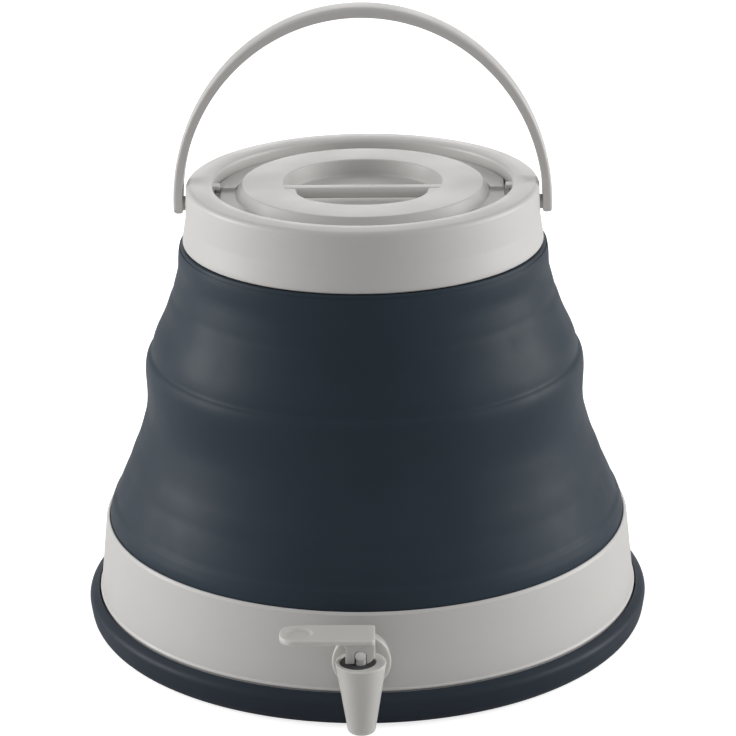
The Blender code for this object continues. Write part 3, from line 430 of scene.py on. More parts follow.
def grid_object(name: str, grid: np.ndarray, wrap_rows: bool = True, wrap_columns: bool = True) -> Piece:
    """Makes a mesh of quads from a grid of points, and merges its poles.

    Args:
        name: the piece's name.
        grid: points as (rows, columns, 3).
        wrap_rows: joins the last row to the first.
        wrap_columns: joins the last column to the first.

    Returns:
        The object, smooth shaded except at sharp edges.
    """
    rows, columns = grid.shape[:2]
    row = np.arange(rows if wrap_rows else rows - 1)[:, None]
    column = np.arange(columns if wrap_columns else columns - 1)[None, :]
    here, there = row * columns, (row + 1) % rows * columns
    after = (column + 1) % columns
    quads = np.stack([here + column, there + column, there + after, here + after], axis=-1)
    piece = new_piece(name, grid, quads.reshape(-1, 4).tolist(), True)
    piece.data.set_sharp_from_angle(angle=SHARP_ANGLE)
    return piece


def ring_angles(segments: int) -> np.ndarray:
    """Returns the angles of a full turn in equal steps."""
    return np.linspace(0.0, math.tau, segments, endpoint=False)


def turned_grid(
    profile: np.ndarray, angles: np.ndarray, place: Triple = ORIGIN, axis: Axis = Axis.UP
) -> np.ndarray:
    """Turns a profile about an axis: each (radius, height) point becomes a ring of points.

    Args:
        profile: rows of (radius, height).
        angles: where the rings' points lie.
        place: a point on the axis, where the height is zero.
        axis: the axis's direction.

    Returns:
        The grid as (angles, profile points, 3).
    """
    basis = np.array(axis.value)
    across = np.cos(angles)[:, None] * profile[None, :, 0]
    along = np.sin(angles)[:, None] * profile[None, :, 0]
    up = np.broadcast_to(profile[None, :, 1], across.shape)
    spread = across[..., None] * basis[0] + along[..., None] * basis[1] + up[..., None] * basis[2]
    return spread + np.array(place)


def turned(
    name: str, profile: np.ndarray, segments: int = TURN_STEPS, place: Triple = ORIGIN, axis: Axis = Axis.UP
) -> Piece:
    """Makes a turned piece from a closed (radius, height) profile."""
    touches_axis = profile[0, 0] == 0.0 and profile[-1, 0] == 0.0
    return grid_object(name, turned_grid(profile, ring_angles(segments), place, axis), True, not touches_axis)


def slab(name: str, outline: np.ndarray, start: float, end: float, plane: Plane) -> Piece:
    """Gives a flat closed outline a thickness.

    Args:
        name: the piece's name.
        outline: points as (first, second) rows in the plane.
        start: where the thickness starts.
        end: where it ends.
        plane: the outline's plane.

    Returns:
        The object, with one face at each end.
    """
    first, second, third = plane.value
    count = len(outline)
    points = np.zeros((2, count, 3))
    points[..., first], points[..., second] = outline[:, 0], outline[:, 1]
    points[0, :, third], points[1, :, third] = start, end
    near = np.arange(count)
    after = (near + 1) % count
    sides = np.stack([near, after, after + count, near + count], axis=1).tolist()
    return new_piece(name, points, [*sides, near.tolist(), (near + count).tolist()])


def soften(piece: Piece, width: float, segments: int = 3) -> Piece:
    """Rounds a piece's sharp edges with a bevel and evens its shading.

    Args:
        piece: the piece.
        width: the bevel's width in millimetres.
        segments: how many faces it takes.

    Returns:
        The same piece.
    """
    bevel = piece.modifiers.new("Rounded edges", "BEVEL")
    bevel.width = width * MM
    bevel.segments = segments
    bevel.limit_method = "ANGLE"
    bevel.angle_limit = BEVEL_ANGLE
    bevel.harden_normals = True
    return piece


def paint(piece: Piece, finish: Finish) -> None:
    """Gives a piece the material of its finish, and logs it.

    Args:
        piece: the finished piece.
        finish: what it is made of.
    """
    piece.data.materials.append(material_of(finish))
    LOG.info("built %s", piece.name)


def dress(piece: Piece, finish: Finish, body: str) -> None:
    """Paints a finished piece and lets it ride on its CAD body."""
    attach(piece, body)
    paint(piece, finish)


def dress_node(name: str, finish: Finish) -> None:
    """Gives a CAD node that stays in view its material and logs it.

    Args:
        name: the node's name.
        finish: what it is made of.
    """
    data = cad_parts[name].data
    data.materials.clear()
    data.materials.append(material_of(finish))
    LOG.info("dressed %s", name)


@dataclass
class Base:
    """The rigid base band with its floor and tap pad, and the soft foot ring under it."""

    foot_radius: float = 145.0
    foot_inner: float = 127.0
    foot_tuck: float = 2.0
    foot_shoulder: float = 13.8
    foot_top: float = 17.6
    foot_round: float = 4.0
    foot_heel: float = 7.0
    floor_foot: float = 9.0
    floor_top: float = 11.5
    band_foot: float = 16.0
    band_foot_radius: float = 138.5
    band_top: float = 56.1
    band_top_radius: float = 134.2
    lip_inner: float = 132.6
    lip_flat: float = 0.7
    lip_slope: float = 1.3
    bead: float = 0.6
    bead_below: float = 1.0
    bead_above: float = 0.9
    ledge_top: float = 48.9
    ledge_inner: float = 127.4
    ledge_depth: float = 2.0
    wall: float = 2.4
    pad_radius: float = 13.4
    pad_face: float = 138.757
    pad_back: float = 131.2
    pad_hole: float = 7.7

    def band_radius(self, height: float) -> float:
        """Returns the band's outer radius at a height."""
        share = (height - self.band_foot) / (self.band_top - self.band_foot)
        return self.band_foot_radius + (self.band_top_radius - self.band_foot_radius) * share

    def foot_ring(self) -> None:
        """Builds the foot ring: a flat-bottomed bead with a shelf for the floor's edge."""
        groove = self.band_radius(self.floor_foot) + GAP
        shelf = self.floor_foot - GAP
        profile = fillet(
            (self.foot_inner, 0.0, 0.6), (self.foot_radius - self.foot_tuck, 0.0, self.foot_heel),
            (self.foot_radius, self.foot_shoulder, self.foot_round), (groove, self.foot_top, 0.7),
            (groove, shelf, 0.0), (self.foot_inner, shelf, 0.6),
            steps=8,
        )
        piece = turned("foot_ring_soft", profile)
        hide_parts("foot_ring")
        dress(piece, FOOT_NAVY, "base")

    def shell(self) -> None:
        """Builds the base shell: the floor, the tapered band with its bead and lip, and its inner ledge."""
        bead_low, bead_high = self.foot_top - self.bead_below, self.foot_top + self.bead_above
        lip_foot, ledge_foot = self.band_top - self.lip_slope, self.ledge_top - self.ledge_depth
        profile = fillet(
            (0.0, self.floor_foot, 0.0), (self.band_radius(self.floor_foot), self.floor_foot, 1.0),
            (self.band_radius(bead_low), bead_low, 0.3),
            (self.band_radius(bead_low) + self.bead, bead_low + self.bead, 0.5),
            (self.band_radius(bead_high) + self.bead, bead_high - self.bead, 0.7),
            (self.band_radius(bead_high), bead_high, 0.7), (self.band_radius(lip_foot), lip_foot, 0.8),
            (self.lip_inner + self.lip_flat, self.band_top, 0.6), (self.lip_inner, self.band_top, 0.3),
            (self.lip_inner, self.ledge_top, 0.2), (self.ledge_inner, self.ledge_top, 0.3),
            (self.ledge_inner, ledge_foot, 0.3),
            (self.band_radius(self.ledge_top) - self.wall, ledge_foot, 0.3),
            (self.band_radius(self.floor_top) - self.wall, self.floor_top, 3.0), (0.0, self.floor_top, 0.0),
        )
        piece = turned("base_band", profile)
        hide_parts("base_shell")
        dress(piece, PALE_GREY, "base")

    def pad(self) -> None:
        """Builds the flat round pad that the tap is clamped on, with its hole."""
        profile = fillet(
            (self.pad_hole, self.pad_back, 0.3), (self.pad_radius, self.pad_back, 0.5),
            (self.pad_radius, self.pad_face, 0.6), (self.pad_hole, self.pad_face, 0.3),
            steps=4,
        )
        piece = turned("tap_pad", profile, PAD_TURN_STEPS, (0.0, 0.0, TAP_HEIGHT), Axis.FRONT)
        dress(piece, PALE_GREY, "base")

    def build(self) -> None:
        """Builds and dresses the whole base."""
        self.foot_ring()
        self.shell()
        self.pad()
        dress_node("lower_clamp_ring", PALE_GREY)


@dataclass
class FoldingWall:
    """The soft folding wall: a lower part with the middle band, and an upper part with the cuff."""

    thickness: float = 2.2
    skirt_foot: float = 49.2
    fold_foot: float = 56.4
    middle_foot: float = 112.8
    crease: float = 143.8
    cone_top: float = 188.0
    cuff_top: float = 200.6
    cuff_radius: float = 91.3
    grip_radius: float = 88.45
    lip_radius: float = 86.0
    lip_foot: float = 184.2
    lip_top: float = 185.7
    lower_steps: int = 110
    upper_steps: int = 80
    lower_knots: tuple[Point, ...] = (
        (49.2, 132.3), (56.4, 132.3), (59.5, 131.95), (63.0, 130.8), (65.2, 129.9), (66.2, 129.0),
        (70.0, 127.4), (74.0, 125.7), (78.0, 123.9), (82.0, 122.1), (86.5, 120.5), (90.5, 118.95),
        (94.0, 117.4), (98.0, 115.9), (106.0, 113.45), (112.8, 111.7), (117.0, 111.15), (122.0, 110.9),
        (129.0, 111.1), (134.0, 111.3), (137.5, 111.15), (140.0, 110.75), (142.0, 110.1),
        (143.3, 109.3), (143.8, 108.75),
    )
    upper_knots: tuple[Point, ...] = (
        (143.8, 108.75), (144.6, 108.2), (147.0, 107.6), (150.0, 106.75), (153.5, 105.4),
        (157.0, 103.7), (160.5, 102.0), (164.0, 100.5), (168.0, 99.05), (171.5, 97.8), (174.5, 96.5),
        (178.0, 95.6), (182.0, 94.5), (186.0, 93.5), (189.0, 93.1), (192.0, 93.0), (196.0, 92.7),
        (199.0, 92.1),
    )

    def outer_line(self, knots: tuple[Point, ...], count: int) -> np.ndarray:
        """Returns the wall's outer line through knots of (height, radius), as rows of (radius, height)."""
        return smooth_curve(knots, count)[:, ::-1]

    def inner_line(self, outer: np.ndarray) -> np.ndarray:
        """Moves the outer line inward along its own normal by the wall's thickness.

        Args:
            outer: the outer line as rows of (radius, height).

        Returns:
            The inner line, in the same form.
        """
        tangent = np.gradient(outer, axis=0)
        tangent /= np.linalg.norm(tangent, axis=1)[:, None]
        normal = np.stack([-tangent[:, 1], tangent[:, 0]], axis=1)
        return outer + normal * self.thickness

    def lower(self) -> None:
        """Builds the lower cone with the middle band, in its open shape; on the carrier it folds down into
        the base.
        """
        outer = self.outer_line(self.lower_knots, self.lower_steps)
        inner = self.inner_line(outer)
        inner = inner[(inner[:, 1] > self.skirt_foot) & (inner[:, 1] < self.crease)]
        profile = np.concatenate([outer, inner[::-1]])
        piece = turned("folding_wall_lower", profile)
        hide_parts("wall_lower", "wall_middle")
        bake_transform(piece)
        paint(piece, NAVY)

    def upper(self) -> None:
        """Builds the upper cone and the cuff that grips the top ring's skirt."""
        outer = self.outer_line(self.upper_knots, self.upper_steps)
        cuff = fillet(
            (self.cuff_radius + 0.6, self.cuff_top - 2.2, 0.0), (self.cuff_radius, self.cuff_top, 0.5),
            (self.grip_radius, self.cuff_top, 0.3), (self.grip_radius, self.lip_top, 0.2),
            (self.lip_radius, self.lip_top, 0.2), (self.lip_radius, self.lip_foot, 0.2),
            (self.cuff_radius - self.thickness + 1.6, self.lip_foot - 0.3, 0.6),
            steps=4,
        )
        inner = self.inner_line(outer)
        inner = inner[(inner[:, 1] > self.crease) & (inner[:, 1] < self.lip_foot - 1.5)]
        profile = np.concatenate([outer, cuff, inner[::-1]])
        piece = turned("folding_wall_upper", profile)
        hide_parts("wall_upper")
        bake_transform(piece)
        paint(piece, NAVY)

    def build(self) -> None:
        """Builds both parts of the wall."""
        self.lower()
        self.upper()


@dataclass
class TopRing:
    """The rigid top ring with its lid tabs, and the filler neck inside it."""

    top: float = 230.0
    skirt_foot: float = 186.0
    skirt_radius: float = 88.1
    edge_radius: float = 90.4
    waist_radius: float = 88.6
    top_radius: float = 87.9
    foot: float = 201.0
    waist: float = 213.5
    wall: float = 2.4
    shoulder: float = 2.8
    shoulder_top: float = 230.5
    crest_top: float = 231.3
    crest_radius: float = 79.5
    mouth_top: float = 230.4
    mouth: float = 74.7
    rim_foot: float = 219.0
    tab_inner: float = 71.2
    tab_half: float = 3.0
    tab_flare: float = 0.6
    tab_bevel: float = 0.45
    tab_low: float = 226.6
    tab_high: float = 228.6
    neck_ledge: float = 222.2
    neck_radius: float = 69.6
    neck_wall: float = 2.3
    neck_foot: float = 204.2
    neck_flange: float = 80.7

    def ring(self) -> None:
        """Builds the ring: a thin skirt under a hollow rim with a flared foot and a domed top."""
        profile = fillet(
            (self.skirt_radius, self.skirt_foot, 0.5), (self.skirt_radius, self.foot, 0.2),
            (self.edge_radius, self.foot, 0.9), (self.edge_radius - 0.2, self.foot + 2.6, 3.0),
            (self.waist_radius, self.waist, 16.0), (self.top_radius, self.shoulder_top, self.shoulder),
            (self.crest_radius, self.crest_top, 14.0), (self.mouth, self.mouth_top, 2.0),
            (self.mouth, self.rim_foot, 0.4), (self.mouth + self.wall, self.rim_foot, 0.4),
            (self.mouth + self.wall, self.top - self.wall, 1.0),
            (self.top_radius - self.wall, self.top - self.wall, 2.0),
            (self.waist_radius - self.wall, self.waist, 16.0),
            (self.edge_radius - self.wall, self.foot + self.wall, 1.0),
            (self.skirt_radius - self.wall, self.foot, 1.0),
            (self.skirt_radius - self.wall, self.skirt_foot, 0.5),
            steps=8,
        )
        piece = turned("top_ring_shell", profile)
        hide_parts("top_ring")
        dress(piece, PALE_GREY, "upper")

    def tab(self, side: float, name: str) -> None:
        """Builds one of the two tabs on the ring's inner wall that hold the lid down.

        Args:
            side: minus one for the left tab, one for the right.
            name: the piece's name.
        """
        inner, outer = side * self.tab_inner, side * (self.mouth + self.wall / 2.0)
        half, root = self.tab_half, self.tab_half + self.tab_flare
        outline = np.array([(outer, -root), (inner, -half), (inner, half), (outer, root)])
        piece = slab(name, outline, self.tab_low, self.tab_high, Plane.GROUND)
        dress(soften(piece, self.tab_bevel), PALE_GREY, "upper")

    def neck(self) -> None:
        """Builds the filler neck: the lid's ledge, the tube below it and the flange under the rim."""
        tube = self.neck_radius + self.neck_wall
        flange_foot = self.rim_foot - GAP - self.neck_wall
        profile = fillet(
            (self.neck_radius, self.neck_foot, 0.5), (tube, self.neck_foot, 0.5),
            (tube, flange_foot - 2.0, 0.3), (tube + 2.0, flange_foot, 0.3),
            (self.neck_flange, flange_foot, 0.3), (self.neck_flange, self.rim_foot - GAP, 0.3),
            (self.mouth - GAP, self.rim_foot - GAP, 0.2),
            (self.mouth - GAP, self.neck_ledge, 0.3), (self.neck_radius, self.neck_ledge, 0.8),
            steps=4,
        )
        piece = turned("filler_neck_tube", profile)
        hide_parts("filler_neck")
        dress(piece, PALE_GREY, "upper")

    def build(self) -> None:
        """Builds the ring, its tabs and the neck."""
        self.ring()
        self.tab(-1.0, "lid_tab_left")
        self.tab(1.0, "lid_tab_right")
        self.neck()
        dress_node("upper_clamp_ring", PALE_GREY)


@dataclass
class Lid:
    """The twist lid: a raised disc with a round finger recess, a grip across it and a notched flange."""

    top: float = 230.0
    recess_floor: float = 221.8
    recess_floor_radius: float = 38.5
    recess_radius: float = 39.7
    disc_radius: float = 60.1
    slope_foot: float = 63.4
    flange_radius: float = 74.1
    flange_top: float = 224.7
    flange_foot: float = 222.5
    plug_radius: float = 68.9
    plug_wall: float = 3.0
    plug_foot: float = 209.5
    groove_radius: float = 67.1
    groove_low: float = 212.2
    groove_high: float = 215.8
    under: float = 2.3
    notch_radius: float = 70.7
    notch_stub: float = 8.0
    notch_root: float = 66.5
    pad_start: float = 2.8
    pad_rise: float = 1.4
    pad_length: float = 11.5
    pad_ease: float = 0.4
    pad_inner: Point = (-0.9, -0.3)
    pad_outer: Point = (-0.6, 0.1)
    notch_ease: Point = (-0.1, 0.5)
    grip_back: float = 4.5
    grip_front: float = 12.0
    grip_top: float = 229.8
    grip_foot: float = 224.8
    opening_half: float = 32.3
    opening_depth: float = 27.7
    land_lap: float = 0.6
    land_bite: float = 0.7
    land_far: float = 8.0
    land_share: float = 0.9
    land_steps: int = 121
    flange_steps: int = 26
    coarse_steps: int = 288
    fine_steps: int = 15
    fine_reach: float = 0.02
    fine_clear: float = 0.004

    def angles(self) -> np.ndarray:
        """Spreads the angles round the lid, closer together where the notches and the pads start.

        Returns:
            The angles in radians, from zero up.
        """
        stub = math.asin(self.notch_stub / self.flange_radius)
        pad = math.asin(self.pad_start / self.notch_root)
        spread = np.linspace(-self.fine_reach, self.fine_reach, self.fine_steps)
        marks = [-stub, math.pi - stub, pad, math.pi - pad]
        fine = np.concatenate([mark + spread for mark in marks])
        coarse = ring_angles(self.coarse_steps)
        nearest = np.abs(np.angle(np.exp(1j * (coarse[:, None] - fine[None, :])))).min(axis=1)
        return np.sort(np.mod(np.concatenate([coarse[nearest > self.fine_clear], fine]), math.tau))

    def cover(self) -> None:
        """Builds the lid's cover.

        A profile is turned about the axis. Beyond the notch's root the radius is drawn in to a straight chord
        at each notch, which ends in a smooth step on one side of the X axis and runs out to the circle on the
        other, and on the flange's top a pad rises beside each notch and slopes away to the back.
        """
        profile = fillet(
            (0.0, self.recess_floor, 0.0), (self.recess_floor_radius, self.recess_floor, 1.6),
            (self.recess_radius, self.top, 0.9), (self.disc_radius, self.top, 0.9),
            (self.slope_foot, self.flange_top, 0.7), (self.notch_radius - 0.8, self.flange_top, 0.0),
            (self.flange_radius, self.flange_top, 0.5), (self.flange_radius, self.flange_foot, 0.3),
            (self.plug_radius, self.flange_foot, 0.3), (self.plug_radius, self.groove_high, 0.2),
            (self.groove_radius, self.groove_high, 0.2), (self.groove_radius, self.groove_low, 0.2),
            (self.plug_radius, self.groove_low, 0.2), (self.plug_radius, self.plug_foot, 0.7),
            (self.plug_radius - self.plug_wall, self.plug_foot, 0.7),
            (self.plug_radius - self.plug_wall, self.flange_foot - self.under, 1.0),
            (self.disc_radius - 1.2, self.top - self.under, 1.0),
            (self.recess_radius + self.under, self.top - self.under, 1.0),
            (self.recess_floor_radius + self.under, self.recess_floor - self.under, 1.0),
            (0.0, self.recess_floor - self.under, 0.0),
        )
        profile = self.with_flange_points(profile)
        grid = self.notched(turned_grid(profile, self.angles()))
        piece = grid_object("lid_cover", grid, True, False)
        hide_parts("lid")
        dress(piece, LID_GREY, "lid")

    def with_flange_points(self, profile: np.ndarray) -> np.ndarray:
        """Adds points along the flange's top, so that its pads have a shape of their own.

        Args:
            profile: the cover's rows of (radius, height).

        Returns:
            The profile with the new points.
        """
        start = int(np.argmax(profile[:, 0] >= self.slope_foot + 0.2))
        foot = profile[start - 1, 0]
        radii = np.linspace(foot + 0.3, self.flange_radius - 0.8, self.flange_steps)
        extra = np.stack([radii, np.full_like(radii, self.flange_top)], axis=1)
        rest = profile[start:]
        rest = rest[~((rest[:, 1] >= self.flange_top - 1e-6) & (rest[:, 0] < self.flange_radius - 0.55))]
        return np.concatenate([profile[:start], extra, rest])

    def notched(self, grid: np.ndarray) -> np.ndarray:
        """Draws the flange in at the notches and raises the pads on it.

        Args:
            grid: the turned cover's points as (angles, profile points, 3).

        Returns:
            The same points, moved.
        """
        radius = np.linalg.norm(grid[..., :2], axis=-1)
        unit = grid[..., :2] / np.maximum(radius, 1e-6)[..., None]
        level = unit[..., 1] * np.sign(unit[..., 0]) * self.flange_radius
        inside = smoothstep(level, *(ease - self.notch_stub for ease in self.notch_ease))
        span = self.flange_radius - self.notch_root
        chord = np.minimum(self.notch_radius / np.maximum(np.abs(unit[..., 0]), 0.5), self.flange_radius)
        limit = self.flange_radius - (self.flange_radius - chord) * inside
        drawn = self.notch_root + (radius - self.notch_root) * (limit - self.notch_root) / span
        on_flange = (grid[..., 2] > self.flange_foot - 0.1) & (grid[..., 2] < self.flange_top + 0.1)
        radius = np.where((radius > self.notch_root) & on_flange, drawn, radius)
        grid[..., :2] = unit * radius[..., None]
        back = grid[..., 1]
        slope = 1.0 - (back - self.pad_start) / self.pad_length
        along = smoothstep(back, self.pad_start - self.pad_ease, self.pad_start) * np.clip(slope, 0.0, 1.0)
        across = smoothstep(radius, *(self.slope_foot + ease for ease in self.pad_inner))
        across *= 1.0 - smoothstep(radius, *(self.notch_radius + ease for ease in self.pad_outer))
        on_top = np.abs(grid[..., 2] - self.flange_top) < 0.05
        grid[..., 2] += np.where(on_top, self.pad_rise * along * across, 0.0)
        return grid

    def grip_bar(self) -> None:
        """Builds the bar across the recess, with a full round along its front."""
        outline = fillet(
            (-self.grip_back, self.grip_foot, 0.8), (-self.grip_back, self.grip_top, 0.9),
            (-self.grip_front, self.grip_top, 3.4), (-self.grip_front, self.grip_foot, 0.9),
            steps=8,
        )
        reach = math.sqrt(self.recess_radius**2 - self.grip_back**2) + 0.3
        piece = slab("lid_grip_bar", outline, -reach, reach, Plane.SIDE)
        piece.data.set_sharp_from_angle(angle=SHARP_ANGLE)
        dress(piece, LID_GREY, "lid")

    def grip_land(self) -> None:
        """Builds the crescent in front of the bar.

        It is ruled between a half ellipse, which is the opening's edge, and the recess's circle; its section
        is a slab with a rounded inner edge.
        """
        turn = np.linspace(0.0, math.pi, self.land_steps)
        inner = [self.opening_half * np.cos(turn), -self.grip_front - self.opening_depth * np.sin(turn)]
        inner = np.stack(inner, axis=1)
        inner[[0, -1], 1] += self.land_lap
        radius = self.recess_radius + self.land_bite
        start = math.acos((self.grip_front - self.land_lap) / radius) - math.pi / 2.0
        sweep = np.linspace(start, -math.pi - start, self.land_steps)
        ruling = radius * np.stack([np.cos(sweep), np.sin(sweep)], axis=1) - inner
        foot, top = self.grip_foot, self.grip_top
        far = self.land_far
        section = fillet((0.0, foot, 0.9), (0.0, top, 1.6), (far, top, 0.0), (far, foot, 0.0))
        across, height = section.T[:, None, :]
        length = np.linalg.norm(ruling, axis=1)[:, None]
        weight = np.where(across == far, 1.0, np.minimum(across, self.land_share * length) / length)
        plan = inner[:, None, :] + ruling[:, None, :] * weight[..., None]
        height = np.broadcast_to(height, weight.shape)
        piece = grid_object("lid_grip_land", np.concatenate([plan, height[..., None]], axis=-1), False, True)
        dress(piece, LID_GREY, "lid")

    def build(self) -> None:
        """Builds the cover and the grip, and dresses the seal and the liner."""
        self.cover()
        self.grip_bar()
        self.grip_land()
        dress_node("lid_seal", SEAL_WHITE)
        dress_node("lid_liner", LID_GREY)


@dataclass
class BailHandle:
    """The bail handle: a crowned strap bent to half an ellipse, with rounded ends at its pivots."""

    pivot_height: float = 219.2
    outer_half: float = 94.2
    thickness: float = 4.5
    rise: float = 100.2
    crown: float = 5.0
    end_half_width: float = 5.2
    crown_half_width: float = 7.0
    end_radius: float = 5.3
    outer_edge: float = 1.5
    inner_edge: float = 0.6
    bulge: float = 0.35
    stud_radius: float = 3.6
    stud_tip: float = 83.7
    stud_head: float = 1.8
    stud_catch: float = 1.0
    face_steps: int = 7
    face_least: float = 0.3
    bend_steps: int = 193
    end_steps: int = 18
    end_start: float = 0.02

    def section(self) -> np.ndarray:
        """Draws the strap's section.

        It is a rectangle with its outer edges rounded more than its inner ones, and its outer face is raised
        by a parabola across the width.

        Returns:
            Rows of (across, along), as shares of the half thickness and the half width.
        """
        half, width = self.thickness / 2.0, self.crown_half_width
        outer, inner = self.outer_edge, self.inner_edge
        outline = fillet(
            (-half, -width, inner), (half, -width, outer), (half, width, outer), (-half, width, inner)
        )
        following = np.roll(outline, -1, axis=0)
        faces = [np.linspace(here, there, self.face_steps)[:-1] for here, there in zip(outline, following)]
        faces = [face if np.linalg.norm(face[0] - face[1]) > self.face_least else face[:1] for face in faces]
        points = np.concatenate(faces) / np.array([half, width])
        rise = self.bulge / half * (1.0 - points[:, 1] ** 2)
        points[:, 0] += np.where(points[:, 0] > 0.0, rise * points[:, 0], 0.0)
        return points

    def strap(self) -> None:
        """Builds the strap.

        Its middle line runs half way between an outer and an inner half ellipse and its width grows with the
        height. Below each pivot it goes straight down while its width closes like a half circle of the end's
        radius and its thickness like a half circle of half the thickness, by the square root of
        1 - (1 - depth / radius) squared.
        """
        turn = np.linspace(0.0, math.pi, self.bend_steps)
        cosine, sine = np.cos(turn), np.sin(turn)
        outer = np.stack([self.outer_half * cosine, self.rise * sine], axis=1)
        inner_half, inner_rise = self.outer_half - self.thickness, self.rise - self.crown
        inner = np.stack([inner_half * cosine, inner_rise * sine], axis=1)
        widths = self.end_half_width + (self.crown_half_width - self.end_half_width) * sine
        middle, half = (outer + inner) / 2.0, (outer - inner) / 2.0
        swing = np.linspace(self.end_start, math.pi / 2.0, self.end_steps)[:-1]
        end_middle = np.stack([np.full_like(swing, middle[0, 0]), -self.end_radius * np.cos(swing)], axis=1)
        closing = np.clip(self.end_radius * (1.0 - np.cos(swing)) / (self.thickness / 2.0), 0.0, 1.0)
        end_half = np.stack([half[0, 0] * np.sqrt(1.0 - (1.0 - closing) ** 2), np.zeros_like(swing)], axis=1)
        end_width = self.end_half_width * np.sin(swing)
        mirror = np.array([-1.0, 1.0])
        middle = np.concatenate([end_middle, middle, end_middle[::-1] * mirror])
        half = np.concatenate([end_half, half, end_half[::-1] * mirror])
        widths = np.concatenate([end_width, widths, end_width[::-1]])
        section = self.section()
        plan = middle[:, None, :] + half[:, None, :] * section[None, :, :1]
        side = widths[:, None] * section[None, :, 1]
        grid = np.stack([plan[..., 0], side, plan[..., 1] + self.pivot_height], axis=-1)
        piece = grid_object("bail_handle", grid, False, True)
        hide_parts("handle")
        dress(piece, PALE_GREY, "handle")

    def stud(self, side: float, name: str) -> None:
        """Builds one pivot's stud, with its head behind the ring's wall.

        Args:
            side: minus one for the left pivot, one for the right.
            name: the piece's name.
        """
        start, end = self.stud_tip, self.outer_half - self.thickness / 2.0
        neck, head = self.stud_tip + self.stud_head, self.stud_radius + self.stud_catch
        profile = fillet(
            (0.0, start, 0.0), (head, start, 0.4), (head, neck, 0.2), (self.stud_radius, neck, 0.2),
            (self.stud_radius, end, 0.0), (0.0, end, 0.0),
            steps=3,
        )
        profile[:, 1] *= side
        piece = turned(name, profile, PIN_TURN_STEPS, (0.0, 0.0, self.pivot_height), Axis.RIGHT)
        dress(piece, PALE_GREY, "handle")

    def build(self) -> None:
        """Builds the strap and both pivots."""
        self.strap()
        self.stud(-1.0, "pivot_stud_left")
        self.stud(1.0, "pivot_stud_right")


